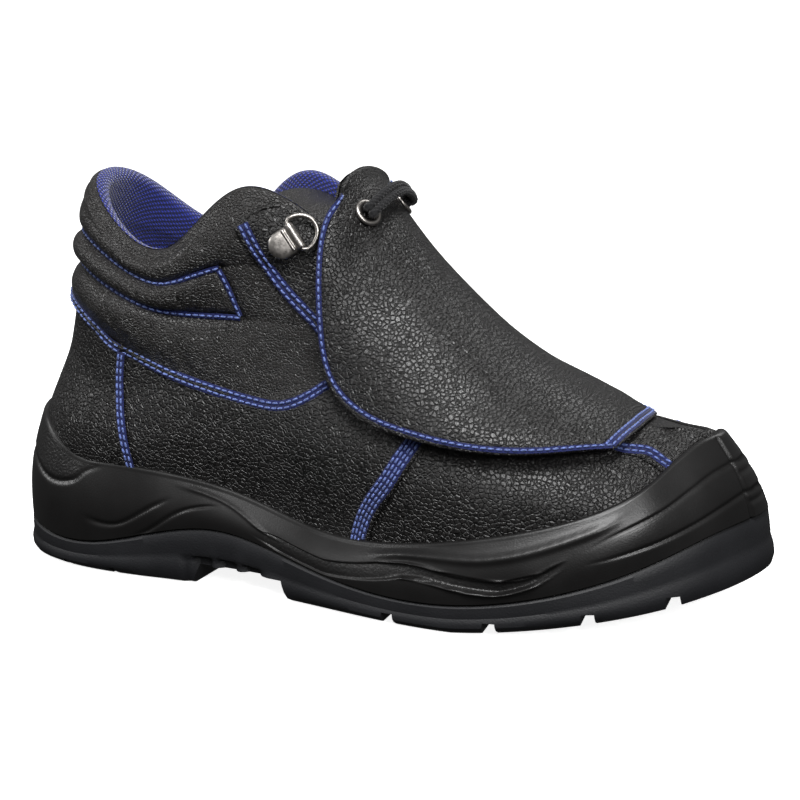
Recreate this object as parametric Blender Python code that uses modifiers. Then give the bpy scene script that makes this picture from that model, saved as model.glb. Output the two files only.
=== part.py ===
"""Metatarsal guard boot for the right foot, size 43, as separate solids.

Metres, +Z up, standing on the floor z = 0. The toe points along +X and the
inner (medial) side of the foot is +Y. The heel's back is near x = 0.
Every main form is a loft over one set of stations round the foot, counted
from the toe tip (0) along the outer side to the heel (8) and back along the
inner side (16).
"""
import math

import bmesh
import bpy
import numpy as np
from mathutils import Matrix, Vector

# Driving sizes
SOLE_LENGTH = 0.305
BALL_WIDTH = 0.114
HEEL_WIDTH = 0.086
SOLE_HEIGHT = 0.045
SHAFT_HEIGHT = 0.156
THROAT_WIDTH = 0.060

# Walls and clearances
WALL = 0.0026
COLLAR_PAD = 0.0085
MIDSOLE_LIP = 0.0030
INSOLE_THICKNESS = 0.0045
INSOLE_SIDE_GAP = 0.0024
OVERLAY_THICKNESS = 0.0013
TONGUE_THICKNESS = 0.0050
TONGUE_GAP = 0.0010
GUARD_THICKNESS = 0.0034
GUARD_LIFT = 0.0018
CLEARANCE = 0.0004
OVERLAY_LIFT = 0.0007
FEATHER_INSET = 0.0090

# Padded rolls and moulded side relief
ROLL_DEPTH = 0.0034
RECESS_DEPTH = 0.0022
SOLE_STEP = 0.0012
LIP_WIDTH = 0.0025
SEAT_DROP = 0.15
SEAT_GAP = 0.0010
CUP_GAP = 0.0016
RIM_GAP = 0.0006

# Tread
LUG_DEPTH = 0.0042
GROOVE_WIDTH = 0.0062
TREAD_INSET = 0.0040
TREAD_ROUND = 0.0020
SPLIT_EDGE = 0.0030
CUT_SPARE = 0.0100
HEEL_NOTCH_WIDTH = 0.0034
SHANK_DEPTH = 0.0085

# Lacing hardware
EYELET_HOLE = 0.0035
HOLE_GAP = 0.0003
EYELET_RADIUS = 0.0054
EYELET_HEIGHT = 0.0012
RING_WIRE = 0.0011
RING_HALF_WIDTH = 0.0068
RING_REACH = 0.0090
CLIP_LENGTH = 0.0100
CLIP_WIDTH = 0.0080
CLIP_PLATE = 0.0012
LACE_RADIUS = 0.0014
LACE_SPACING = 0.0031
LACE_RISE = 0.0035

COLUMNS_PER_STATION = 4
STATIONS = 16
COLUMNS = STATIONS * COLUMNS_PER_STATION

# Sole outline, a row for each station: x as a share of the sole length, and
# the side reach as shares of the ball width and of the heel width.
OUTLINE = [
    # station          x      ball    heel
    ("toe tip",        1.000,  0.15,  0.00),
    ("outer toe",      0.958, -0.13,  0.00),
    ("little toe",     0.850, -0.365, 0.00),
    ("outer ball",     0.670, -0.500, 0.00),
    ("outer waist",    0.480, -0.440, 0.00),
    ("outer breast",   0.320,  0.00, -0.515),
    ("outer heel",     0.155,  0.00, -0.525),
    ("outer corner",   0.037,  0.00, -0.37),
    ("heel back",      0.000,  0.00,  0.00),
    ("inner corner",   0.037,  0.00,  0.36),
    ("inner heel",     0.155,  0.00,  0.48),
    ("inner breast",   0.320,  0.00,  0.43),
    ("inner waist",    0.470,  0.315, 0.00),
    ("inner ball",     0.700,  0.475, 0.00),
    ("big toe",        0.880,  0.485, 0.00),
    ("inner toe",      0.975,  0.365, 0.00),
]

# Heights of the sole's lines, toe to heel, as shares of SOLE_HEIGHT, the rim's
# place between the feather line and the upper's seam, and how far the side
# leans in at the split line, as a share of SOLE_HEIGHT.
SOLE_LINES = [
    # station    tread  split  feather  rim    tuck
    ("toe",      0.350, 0.85,  0.72,  0.970, 0.080),
    ("toe side", 0.290, 0.80,  0.68,  0.882, 0.060),
    ("toes",     0.150, 0.50,  0.56,  0.581, 0.015),
    ("ball",     0.000, 0.25,  0.45,  0.264, 0.000),
    ("waist",   -0.040, 0.33,  0.46,  0.110, 0.000),
    ("breast",   0.000, 0.52,  0.56,  0.277, 0.000),
    ("heel",    -0.010, 0.28,  0.62,  0.276, 0.000),
    ("corner",  -0.010, 0.32,  0.62,  0.213, 0.000),
    ("back",     0.050, 0.37,  0.62,  0.242, 0.000),
]

# The upper's seam, roll and top lines, toe to heel: heights as shares of
# SHAFT_HEIGHT, the top line's x of SOLE_LENGTH, its side of THROAT_WIDTH.
UPPER_LINES = [
    # station    seam   lower  upper  top    top_x  top_y
    ("toe",      0.440, 0.447, 0.454, 0.462, 0.885, 0.00),
    ("toe side", 0.425, 0.438, 0.451, 0.464, 0.825, 0.00),
    ("toes",     0.390, 0.435, 0.475, 0.513, 0.730, 0.00),
    ("ball",     0.425, 0.495, 0.560, 0.625, 0.640, 0.00),
    ("waist",    0.525, 0.640, 0.740, 0.830, 0.510, 0.30),
    ("breast",   0.485, 0.680, 0.810, 0.985, 0.360, 0.50),
    ("heel",     0.555, 0.695, 0.757, 0.818, 0.250, 0.60),
    ("corner",   0.640, 0.770, 0.845, 0.920, 0.135, 0.45),
    ("back",     0.655, 0.780, 0.860, 0.985, 0.095, 0.00),
]

# Section shape, toe to heel: how round the wall turns over to the top line,
# and its swell low down, at the ankle and at the collar, of BALL_WIDTH.
SECTION_SHAPE = [
    # station    round  belly   ankle   collar  pad  roll
    ("toe",      1.00,  0.010,  0.000,  0.000, 0.0, 0.0),
    ("toe side", 0.95,  0.020,  0.000,  0.000, 0.0, 0.0),
    ("toes",     0.86,  0.030,  0.000,  0.000, 0.0, 0.0),
    ("ball",     0.86,  0.035,  0.000,  0.000, 0.0, 0.0),
    ("waist",    0.60,  0.045,  0.005,  0.000, 0.1, 0.0),
    ("breast",   0.15,  0.040, -0.005,  0.020, 0.8, 0.5),
    ("heel",     0.00,  0.040, -0.010,  0.020, 1.0, 1.0),
    ("corner",   0.00,  0.040, -0.010,  0.020, 1.0, 1.0),
    ("back",     0.00,  0.045, -0.005,  0.020, 1.0, 1.0),
]

# The guard's ridge from the toe seam up to its free top, as shares of
# SOLE_LENGTH and SHAFT_HEIGHT, and how far its edges lie out, back and down.
GUARD = [
    # place        x      z      out    back   down
    ("toe seam",   0.858, 0.470, 0.232, 0.012, 0.022),
    ("toe bend",   0.780, 0.512, 0.365, 0.022, 0.085),
    ("toe flare",  0.722, 0.566, 0.430, 0.042, 0.138),
    ("vamp",       0.664, 0.640, 0.440, 0.052, 0.196),
    ("instep",     0.612, 0.722, 0.425, 0.054, 0.253),
    ("lacing",     0.563, 0.812, 0.390, 0.052, 0.298),
    ("bend",       0.525, 0.895, 0.350, 0.046, 0.280),
    ("neck",       0.492, 0.967, 0.285, 0.024, 0.165),
    ("top",        0.466, 1.030, 0.140, -0.004, 0.020),
]
GUARD_SKEW = 0.012
GUARD_ARC = 0.86
GUARD_INNER_SHARE = 0.88
GUARD_INNER_DROP = (0.50, 0.72, 1.10, 1.00)

# Place of the D-rings up the throat, in stations from the toe.
RING_STATION = 4.45
RING_EDGE_GAP = 0.0095


def natural_spline(values, periodic=False):
    """A curve with continuous curvature through values at 0, 1, 2, ..."""
    y = np.array(values, float)
    n = len(y)
    a = np.zeros((n, n))
    b = np.zeros(n)
    for i in range(n):
        if periodic or 0 < i < n - 1:
            a[i, (i - 1) % n] += 1
            a[i, i] += 4
            a[i, (i + 1) % n] += 1
            b[i] = 6 * (y[(i - 1) % n] - 2 * y[i] + y[(i + 1) % n])
        else:
            a[i, i] = 1
    m = np.linalg.solve(a, b)

    def evaluate(s):
        s = s % n if periodic else min(max(s, 0.0), n - 1.0)
        i = int(s) if periodic else min(int(s), n - 2)
        j = (i + 1) % n
        u = s - i
        w = 1 - u
        return w * y[i] + u * y[j] + ((w**3 - w) * m[i] + (u**3 - u) * m[j]) / 6

    return evaluate


def mirrored_spline(table, column):
    """A spline round the foot from a table that runs from toe to heel."""
    side = [row[column] for row in table]
    return natural_spline(side + side[-2:0:-1], periodic=True)


def signed_spline(table, column):
    """As mirrored_spline, but negative on the outer side and zero on the ridge."""
    first = next(i for i, row in enumerate(table) if row[column]) - 1
    side = [row[column] for row in table][first:]
    curve = natural_spline([-v for v in side] + side[-2::-1])
    return lambda t: curve(t % STATIONS - first)


outline_x = natural_spline([row[1] * SOLE_LENGTH for row in OUTLINE], periodic=True)
outline_y = natural_spline(
    [row[2] * BALL_WIDTH + row[3] * HEEL_WIDTH for row in OUTLINE], periodic=True
)
tread_line, split_line, feather_line, rim_share, tuck_line = (
    mirrored_spline(SOLE_LINES, column) for column in range(1, 6)
)
seam_line, lower_line, upper_line, top_line, top_x = (
    mirrored_spline(UPPER_LINES, column) for column in range(1, 6)
)
top_y = signed_spline(UPPER_LINES, 6)
roundness, belly, ankle, collar, pad, roll = (
    mirrored_spline(SECTION_SHAPE, column) for column in range(1, 7)
)


def outline(t, out=0.0):
    """A point of the sole's outline and its outward direction, in plan."""
    step = 0.01
    along = Vector((
        outline_x(t + step) - outline_x(t - step),
        outline_y(t + step) - outline_y(t - step),
    )).normalized()
    outward = Vector((-along.y, along.x))
    return Vector((outline_x(t), outline_y(t))) + outward * out, outward


def swell(h, middle, half_width):
    """A smooth bump of height 1 at middle and 0 beyond half_width."""
    reach = abs(h - middle) / half_width
    return 0.0 if reach >= 1 else 0.5 + 0.5 * math.cos(math.pi * reach)


def rise(t, h):
    """Height share at h, from the feather line (0) to the top line (1)."""
    turned = math.sin(math.pi * h / 2) ** 0.80
    return h + (turned - h) * min(max(roundness(t), 0.0), 1.0)


def rim_height(t):
    """Top of the midsole's rim, between the feather line and the seam."""
    low, high = feather_line(t) * SOLE_HEIGHT, seam_line(t) * SHAFT_HEIGHT
    return low + (high - low) * rim_share(t)


def tucked(t, out=0.0):
    """The offset at the split line, where the sole's side leans in."""
    return out - tuck_line(t) * SOLE_HEIGHT


def height(t, h):
    low = feather_line(t) * SOLE_HEIGHT
    return low + (top_line(t) * SHAFT_HEIGHT - low) * rise(t, h)


def share_at(t, z):
    """The h at which the upper's wall reaches height z, by halving."""
    low, high = 0.0, 1.0
    for _ in range(30):
        middle = (low + high) / 2
        low, high = (middle, high) if height(t, middle) < z else (low, middle)
    return (low + high) / 2


def wall_point(t, h):
    """The upper's outer face without its rolls."""
    foot, outward = outline(t, -FEATHER_INSET)
    top = Vector((top_x(t) * SOLE_LENGTH, top_y(t) * THROAT_WIDTH))
    turn = 1 - max(math.cos(math.pi * h / 2), 0.0) ** 0.80
    lean = h + (turn - h) * min(max(roundness(t), 0.0), 1.0)
    out = BALL_WIDTH * (
        belly(t) * swell(h, 0.25, 0.25)
        + ankle(t) * swell(h, 0.58, 0.22)
        + collar(t) * swell(h, 0.84, 0.16)
    )
    place = foot + (top - foot) * lean + outward * out
    return Vector((place.x, place.y, height(t, h)))


def on_ridge(t, h):
    """True where the wall of one side meets the other on the centre line."""
    return h > 0.999 and top_y(t) == 0.0 and abs((t + 8) % STATIONS - 8) < 3.5


def wall_normal(t, h):
    """The outward direction of the upper's wall."""
    du, dv = 0.02, 0.01
    low, high = max(h - dv, 0.0), min(h + dv, 1.0)
    across = wall_point(t + du, h) - wall_point(t - du, h)
    up = wall_point(t, high) - wall_point(t, low)
    if on_ridge(t, h):
        # at the very tip the ridge turns back, so it is read a little behind
        side = -1 if t % STATIONS < STATIONS / 2 else 1
        behind = (0.5 if min(t % STATIONS, -t % STATIONS) < 0.3 else 0.0) * -side
        along = wall_point(t + behind + du, 1.0) - wall_point(t + behind - du, 1.0)
        return Vector((-along.z * side, 0, along.x * side)).normalized()
    return up.cross(across).normalized()


def upper_rows(t):
    """The h of each row of the upper at a station, by the lines it passes."""
    lines = [
        share_at(t, rim_height(t)),
        share_at(t, seam_line(t) * SHAFT_HEIGHT),
        share_at(t, lower_line(t) * SHAFT_HEIGHT),
        share_at(t, upper_line(t) * SHAFT_HEIGHT),
        1.0,
    ]
    rows, start = [0.0], 0.0
    for end, count in zip(lines, ROWS_PER_BAND):
        rows += [start + (end - start) * (i + 1) / count for i in range(count)]
        start = end
    return rows


ROWS_PER_BAND = (3, 4, 3, 3, 4)
RIM_ROW = ROWS_PER_BAND[0]
SEAM_ROW = RIM_ROW + ROWS_PER_BAND[1]
LOWER_ROW = SEAM_ROW + ROWS_PER_BAND[2]
UPPER_ROW = LOWER_ROW + ROWS_PER_BAND[3]
TOP_ROW = UPPER_ROW + ROWS_PER_BAND[4]
THROAT_COLUMN = 3 * COLUMNS_PER_STATION
EAR_COLUMN = 5 * COLUMNS_PER_STATION
COLUMN_T = [c / COLUMNS_PER_STATION for c in range(COLUMNS)]
ROWS = [upper_rows(t) for t in COLUMN_T]


def roll_height(t, row):
    """How far a padded roll stands out of the wall at a row."""
    for low, high in ((SEAM_ROW, LOWER_ROW), (LOWER_ROW, UPPER_ROW), (UPPER_ROW, TOP_ROW)):
        if low <= row <= high:
            share = (row - low) / (high - low)
            return ROLL_DEPTH * roll(t) * math.sin(math.pi * share) ** 0.7
    return 0.0


def outer_point(column, row, out=0.0):
    """A point of the upper's outer face on the shared grid, moved out."""
    column %= COLUMNS
    t, h = COLUMN_T[column], float(np.interp(row, range(TOP_ROW + 1), ROWS[column]))
    return wall_point(t, h) + wall_normal(t, h) * (max(roll_height(t, row), 0.0) + out)


def skin_point(t, h, out=0.0):
    """As outer_point, at any station and height share."""
    row = float(np.interp(h, upper_rows(t), range(TOP_ROW + 1)))
    return wall_point(t, h) + wall_normal(t, h) * (max(roll_height(t, row), 0.0) + out)


def wall_thickness(t, row):
    """Leather and lining low down, foam behind the collar."""
    padded = min(max((row - SEAM_ROW) / (UPPER_ROW - SEAM_ROW), 0.0), 1.0)
    return WALL + (COLLAR_PAD - WALL) * padded * min(max(pad(t), 0.0), 1.0)


def inner_point(column, row):
    t, h = COLUMN_T[column], ROWS[column][row]
    inward = -wall_normal(t, h)
    if row == 0:
        inward.z = 0.0
    return wall_point(t, h) + inward * wall_thickness(t, row)


def material(name, colour, roughness, metallic=0.0):
    made = bpy.data.materials.new(name)
    made.use_nodes = True
    shader = made.node_tree.nodes["Principled BSDF"]
    shader.inputs["Base Color"].default_value = (*colour, 1.0)
    shader.inputs["Roughness"].default_value = roughness
    shader.inputs["Metallic"].default_value = metallic
    return made


def add_object(name, data, finish, smooth_angle=40):
    made = bpy.data.objects.new(name, data)
    boot.objects.link(made)
    made.data.materials.append(finish)
    if made.type == "MESH":
        made.data.shade_smooth()
        made.data.set_sharp_from_angle(angle=math.radians(smooth_angle))
    return made


def mesh_from(name, points, faces, merge=1e-5):
    """A mesh of these faces with points that coincide made one."""
    mesh = bpy.data.meshes.new(name)
    mesh.from_pydata([tuple(p) for p in points], [], faces)
    shape = bmesh.new()
    shape.from_mesh(mesh)
    bmesh.ops.remove_doubles(shape, verts=shape.verts, dist=merge)
    bmesh.ops.dissolve_degenerate(shape, edges=shape.edges, dist=merge)
    bmesh.ops.recalc_face_normals(shape, faces=shape.faces)
    if shape.calc_volume(signed=True) < 0:
        bmesh.ops.reverse_faces(shape, faces=shape.faces)
    shape.to_mesh(mesh)
    shape.free()
    return mesh


def loft(rings, caps=(True, True)):
    """Points and faces of a skin over closed rings; caps bridge side to side."""
    count = len(rings[0])
    points = [p for ring in rings for p in ring]
    faces = []
    for r in range(len(rings) - 1):
        for c in range(count):
            d = (c + 1) % count
            a, b = r * count, (r + 1) * count
            faces.append((a + c, a + d, b + d, b + c))
    for wanted, start in zip(caps, (0, (len(rings) - 1) * count)):
        if wanted:
            for c in range(count // 2):
                left, right = (c, c + 1), ((-c - 1) % count, -c % count)
                faces.append(tuple(dict.fromkeys(start + i for i in (*left, *right))))
    return points, faces


def ring_at(place):
    return [place(c) for c in range(COLUMNS)]


def plan_point(t, out, z):
    place, _ = outline(t, out)
    return Vector((place.x, place.y, z))


def add_upper():
    """One hollow skin, open at the collar, at the throat and underneath."""
    inner_rows = [r for r in range(TOP_ROW + 1) if r % 2 == 0 or r in (RIM_ROW, TOP_ROW)]
    outer = [ring_at(lambda c, r=r: outer_point(c, r)) for r in range(TOP_ROW + 1)]
    inner = [ring_at(lambda c, r=r: inner_point(c, r)) for r in reversed(inner_rows)]
    crest = []
    for c in range(COLUMNS):
        edge = (outer[-1][c] + inner[0][c]) / 2
        lift = (outer[-1][c] - inner[0][c]).length * 0.42
        crest.append(edge + Vector((0, 0, lift * min(max(pad(COLUMN_T[c]), 0.0), 1.0))))
    rings = outer + [crest] + inner
    points, faces = loft(rings + [outer[0]], caps=(False, False))
    crest_ring = len(outer)
    closed = {c for c in range(COLUMNS) if min(c, COLUMNS - c) < THROAT_COLUMN}
    kept = []
    for face in faces:
        ring = min(i // COLUMNS for i in face)
        columns = {i % COLUMNS for i in face}
        if crest_ring - 1 <= ring <= crest_ring and columns & closed:
            continue
        kept.append(face)
    return add_object("upper", mesh_from("upper", points, kept), black_leather)


def seat_height(t, lift=0.0):
    """Top of the outsole inside its lip, always below the upper's feather."""
    return min(split_line(t), feather_line(t) - SEAT_DROP) * SOLE_HEIGHT + lift


def add_midsole():
    """The moulded cup that holds the upper: lip, side relief and floor."""
    def lip(c):
        t, h = COLUMN_T[c], ROWS[c][RIM_ROW]
        return wall_point(t, h) + wall_normal(t, h) * MIDSOLE_LIP

    def side(share, step):
        def place(c):
            t = COLUMN_T[c]
            low = split_line(t) * SOLE_HEIGHT + 1.5 * CLEARANCE
            top = lip(c)
            base = plan_point(t, tucked(t), low)
            wide = base + (top - base) * share
            _, outward = outline(t)
            crown = math.sin(math.pi * share) * SOLE_STEP * 2
            relief = step * RECESS_DEPTH * swell(abs((t + 8) % STATIONS - 8), 3.1, 1.5)
            out = outward * (crown - relief)
            return wide + Vector((out.x, out.y, 0))
        return place

    def inside(row, down=0.0):
        def place(c):
            t, h = COLUMN_T[c], ROWS[c][row]
            gap = RIM_GAP if row == RIM_ROW else CUP_GAP
            point = wall_point(t, h) + wall_normal(t, h) * gap
            return point - Vector((0, 0, down))
        return place

    def seat(c):
        t = COLUMN_T[c]
        return plan_point(t, tucked(t, -2 * LIP_WIDTH - SEAT_GAP), seat_height(t, SEAT_GAP))

    def inner_lip(c):
        t = COLUMN_T[c]
        out = tucked(t, -LIP_WIDTH - SEAT_GAP)
        return plan_point(t, out, split_line(t) * SOLE_HEIGHT + SEAT_GAP)

    places = [seat, inner_lip, side(0, 0), side(0.22, 0), side(0.34, 1), side(0.62, 1), side(0.76, 0), lip]
    places += [inside(row) for row in range(RIM_ROW, 0, -1)]
    places += [inside(0, CLEARANCE)]
    points, faces = loft([ring_at(place) for place in places])
    return add_object("midsole", mesh_from("midsole", points, faces), moulded_foam)


def tread_height(t):
    return max(tread_line(t), 0.0) * SOLE_HEIGHT


def add_outsole():
    """The wearing layer below the split line, with its main grooves."""
    def bottom(out, lift):
        return lambda c: plan_point(COLUMN_T[c], out, tread_height(COLUMN_T[c]) + lift)

    def top(out, drop):
        return lambda c: plan_point(
            COLUMN_T[c],
            tucked(COLUMN_T[c], out),
            split_line(COLUMN_T[c]) * SOLE_HEIGHT - drop,
        )

    def seat(c):
        t = COLUMN_T[c]
        return plan_point(t, tucked(t, -2 * LIP_WIDTH), seat_height(t))

    places = [bottom(-TREAD_INSET, 0.0), bottom(-TREAD_ROUND / 2, TREAD_ROUND)]
    places += [top(0.0, SPLIT_EDGE), top(0.0, 0.0), top(-LIP_WIDTH, 0.0), seat]
    points, faces = loft([ring_at(place) for place in places])
    outsole = add_object("outsole", mesh_from("outsole", points, faces), tread_rubber, 25)
    for index, cutter in enumerate(tread_cutters()):
        cut = outsole.modifiers.new(f"tread {index}", "BOOLEAN")
        cut.operation = "DIFFERENCE"
        cut.object = cutter
    return outsole


def box_cutter(name, middle, size, turn=0.0, taper=1.0):
    """A box that cuts; taper narrows its upper face along x."""
    mesh = bpy.data.meshes.new(name)
    shape = bmesh.new()
    bmesh.ops.create_cube(shape, size=1.0)
    for vertex in shape.verts:
        if vertex.co.z > 0:
            vertex.co.x *= taper
    bmesh.ops.scale(shape, vec=size, verts=shape.verts)
    shape.to_mesh(mesh)
    shape.free()
    made = bpy.data.objects.new(name, mesh)
    made.matrix_world = Matrix.Translation(middle) @ Matrix.Rotation(turn, 4, "Z")
    made.hide_render = True
    made.display_type = "WIRE"
    cutters.objects.link(made)
    return made


# Grooves across the tread: x as a share of the sole length, and the turn.
FOREFOOT_GROOVES = ((0.590, -4), (0.700, -8), (0.810, -10), (0.905, -8))
HEEL_NOTCHES = ((0.075, 14), (0.170, 6))
SHANK = (0.285, 0.455)


def tread_cutters():
    """Boxes for the shank's arch, the forefoot grooves and the heel notches."""
    made = []
    below = CUT_SPARE
    length = (SHANK[1] - SHANK[0]) * SOLE_LENGTH
    middle = (SHANK[1] + SHANK[0]) / 2 * SOLE_LENGTH
    tall = SHANK_DEPTH + below
    made.append(box_cutter(
        "shank arch", (middle, 0, SHANK_DEPTH - tall / 2), (length, BALL_WIDTH * 1.4, tall), 0.0, 0.74
    ))
    for name, table, width, depth in (
        ("groove", FOREFOOT_GROOVES, GROOVE_WIDTH, LUG_DEPTH),
        ("notch", HEEL_NOTCHES, HEEL_NOTCH_WIDTH, LUG_DEPTH * 0.7),
    ):
        for index, (share, turn) in enumerate(table):
            x = share * SOLE_LENGTH
            tall = depth + below
            lift = toe_lift(share)
            for side in (-1, 1):
                reach = BALL_WIDTH * 0.36
                centre = side * (BALL_WIDTH * 0.06 + reach)
                made.append(box_cutter(
                    f"{name} {index} {side}", (x, centre, depth + lift - tall / 2),
                    (width, reach * 2, tall), math.radians(turn * side), 0.7,
                ))
    return made


def toe_lift(share):
    """Height of the tread at a share of the length, by the toe spring."""
    low, high = 0.0, 4.0
    for _ in range(30):
        middle = (low + high) / 2
        past = outline_x(middle) < share * SOLE_LENGTH
        low, high = (low, middle) if past else (middle, high)
    return tread_height(low)


def add_insole():
    """The flat bed inside the upper, on the midsole's floor."""
    def edge(lift):
        def place(c):
            t = COLUMN_T[c]
            point = wall_point(t, 0.0) - Vector((*outline(t)[1], 0)) * (WALL + INSOLE_SIDE_GAP)
            return Vector((point.x, point.y, feather_line(t) * SOLE_HEIGHT + lift))
        return place

    points, faces = loft([ring_at(edge(0.0)), ring_at(edge(INSOLE_THICKNESS))])
    return add_object("insole", mesh_from("insole", points, faces), lining_felt)


def sheet_faces(wide, tall):
    """Faces of a closed slab: two layers of wide by tall points and a border."""
    layer, faces = wide * tall, []
    for r in range(tall - 1):
        for c in range(wide - 1):
            a = r * wide + c
            faces.append((a, a + 1, a + wide + 1, a + wide))
            faces.append((a + layer, a + layer + wide, a + layer + wide + 1, a + layer + 1))
    border = [r * wide for r in range(tall)]
    border += [(tall - 1) * wide + c for c in range(1, wide)]
    border += [r * wide + wide - 1 for r in range(tall - 2, -1, -1)]
    border += list(range(wide - 2, 0, -1))
    for a, b in zip(border, border[1:] + border[:1]):
        faces.append((a, a + layer, b + layer, b))
    return faces


def patch(name, columns, rows_at, finish):
    """A leather overlay that follows the upper's own outer face."""
    rows = [rows_at(c) for c in columns]
    tall = len(rows[0])
    points = [
        outer_point(c, rows[i][r], out)
        for out in (OVERLAY_LIFT, OVERLAY_LIFT + OVERLAY_THICKNESS)
        for r in range(tall)
        for i, c in enumerate(columns)
    ]
    mesh = mesh_from(name, points, sheet_faces(len(columns), tall))
    return add_object(name, mesh, finish)


# The facing's lower edge: rows of the upper's grid, a station apart from 3.
FACING_LOW = (8.0, 9.0, 15.0)


def facing_rows(column):
    t = COLUMN_T[column]
    low = float(np.interp(min(t, STATIONS - t), (3, 4, 5), FACING_LOW))
    return [low + (TOP_ROW - 0.1 - low) * i / 5 for i in range(6)]


def add_overlays():
    """The counter round the heel and the facings beside the throat."""
    heel = 8 * COLUMNS_PER_STATION
    reach = 2 * COLUMNS_PER_STATION
    counter_rows = [RIM_ROW + 0.25] + list(range(RIM_ROW + 1, SEAM_ROW + 1))
    patch("counter", range(heel - reach, heel + reach + 1), lambda c: counter_rows, black_leather)
    outer = range(THROAT_COLUMN + 3, EAR_COLUMN)
    inner = [(-c) % COLUMNS for c in reversed(outer)]
    patch("facing_outer", outer, facing_rows, black_leather)
    patch("facing_inner", inner, facing_rows, black_leather)


def throat_frame(t):
    """Middle of the throat at a station, with its up and out directions."""
    step = 0.05
    place = Vector((top_x(t) * SOLE_LENGTH, 0, top_line(t) * SHAFT_HEIGHT))
    ahead = Vector((top_x(t + step) * SOLE_LENGTH, 0, top_line(t + step) * SHAFT_HEIGHT))
    up = (ahead - place).normalized()
    return place, up, Vector((up.z, 0, -up.x))


def add_tongue():
    """A padded tongue that fills the throat between its edges."""
    across, points, rows = 8, [], []
    for column in range(THROAT_COLUMN + 1, EAR_COLUMN):
        place, up, out = throat_frame(COLUMN_T[column])
        sides = (column, COLUMNS - column)
        half = min(abs(inner_point(c, TOP_ROW).y) for c in sides) - TONGUE_GAP
        if half > TONGUE_GAP * 2:
            rows.append((place, half, out))
    rows.append((place + up * 0.012, rows[-1][1] * 0.85, out))
    for layer in (0, 1):
        for place, half, out in rows:
            for j in range(across + 1):
                v = 2 * j / across - 1
                crown = half * 0.22 * (1 - v * v)
                depth = -TONGUE_THICKNESS * layer * (1 - 0.55 * abs(v))
                points.append(place + Vector((0, v * half, 0)) + out * (crown + depth - TONGUE_GAP))
    faces = sheet_faces(across + 1, len(rows))
    return add_object("tongue", mesh_from("tongue", points, faces), soft_leather)


guard_x, guard_z, guard_out, guard_back, guard_down = (
    natural_spline([row[column] for row in GUARD]) for column in range(1, 6)
)
GUARD_ROWS = len(GUARD) - 1


def guard_point(s, v, lift=0.0):
    """A point of the guard: s up the ridge, v from outer edge to inner edge."""
    angle = abs(v) * GUARD_ARC * math.pi / 2
    end = GUARD_ARC * math.pi / 2
    side = math.sin(angle) / math.sin(end) * math.copysign(1.0, v)
    fall = (1 - math.cos(angle)) / (1 - math.cos(end))
    x = (guard_x(s) - guard_back(s) * fall) * SOLE_LENGTH
    narrowed = float(np.interp(s, (3, 6), (GUARD_INNER_SHARE, 1.0)))
    reach = guard_out(s) * BALL_WIDTH * (narrowed if v > 0 else 1.0)
    y = reach * side + GUARD_SKEW * BALL_WIDTH
    drop = float(np.interp(s, (0, 1, 3, 6), GUARD_INNER_DROP)) if v > 0 else 1.0
    z = (guard_z(s) - guard_down(s) * fall * drop) * SHAFT_HEIGHT
    return Vector((x, y, z + lift))


def guard_normal(s, v):
    ds, dv = 0.02, 0.01
    up = guard_point(min(s + ds, GUARD_ROWS), v) - guard_point(max(s - ds, 0), v)
    across = guard_point(s, min(v + dv, 1)) - guard_point(s, max(v - dv, -1))
    return across.cross(up).normalized()


EYELET_S, EYELET_V = 6.75, 0.30


def add_guard(upper):
    """The metatarsal flap: one curved sheet over the lacing."""
    along, across = 18, 16
    points = [
        guard_point(GUARD_ROWS * i / along, 2 * j / across - 1)
        for i in range(along + 1)
        for j in range(across + 1)
    ]
    faces = []
    for i in range(along):
        for j in range(across):
            a = i * (across + 1) + j
            faces.append((a, a + 1, a + across + 2, a + across + 1))
    mesh = bpy.data.meshes.new("guard")
    mesh.from_pydata([tuple(p) for p in points], [], faces)
    guard = add_object("guard", mesh, black_leather)
    low = guard.vertex_groups.new(name="over the vamp")
    for i in range(along + 1):
        s = GUARD_ROWS * i / along
        row = range(i * (across + 1), (i + 1) * (across + 1))
        low.add(list(row), min(max(4.0 - s, 0.0), 1.0), "REPLACE")
    clear = guard.modifiers.new("clear of upper", "SHRINKWRAP")
    clear.target = upper
    clear.wrap_method = "NEAREST_SURFACEPOINT"
    clear.wrap_mode = "OUTSIDE"
    clear.offset = GUARD_LIFT
    clear.vertex_group = low.name
    calm = guard.modifiers.new("calm", "SMOOTH")
    calm.factor = 0.5
    calm.iterations = 1
    calm.vertex_group = low.name
    thick = guard.modifiers.new("thickness", "SOLIDIFY")
    thick.thickness = GUARD_THICKNESS
    thick.offset = 1.0
    thick.use_even_offset = False
    for side, name in ((-1, "outer"), (1, "inner")):
        frame = eyelet_frame(side)
        cutter = cylinder(f"eyelet hole {name}", EYELET_HOLE + HOLE_GAP, CUT_SPARE * 3, 16)
        cutter.matrix_world = frame
        hole = guard.modifiers.new(f"eyelet hole {name}", "BOOLEAN")
        hole.operation = "DIFFERENCE"
        hole.object = cutter
    return guard


def cylinder(name, radius, depth, sides):
    mesh = bpy.data.meshes.new(name)
    shape = bmesh.new()
    bmesh.ops.create_cone(
        shape, cap_ends=True, segments=sides, radius1=radius, radius2=radius, depth=depth
    )
    shape.to_mesh(mesh)
    shape.free()
    made = bpy.data.objects.new(name, mesh)
    made.hide_render = True
    made.display_type = "WIRE"
    cutters.objects.link(made)
    return made


def frame_on(place, normal, along):
    """A matrix at place with +Z out along normal and +X near along."""
    z = normal.normalized()
    x = (along - z * along.dot(z)).normalized()
    y = z.cross(x)
    turned = Matrix((x, y, z)).transposed().to_4x4()
    return Matrix.Translation(place) @ turned


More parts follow.
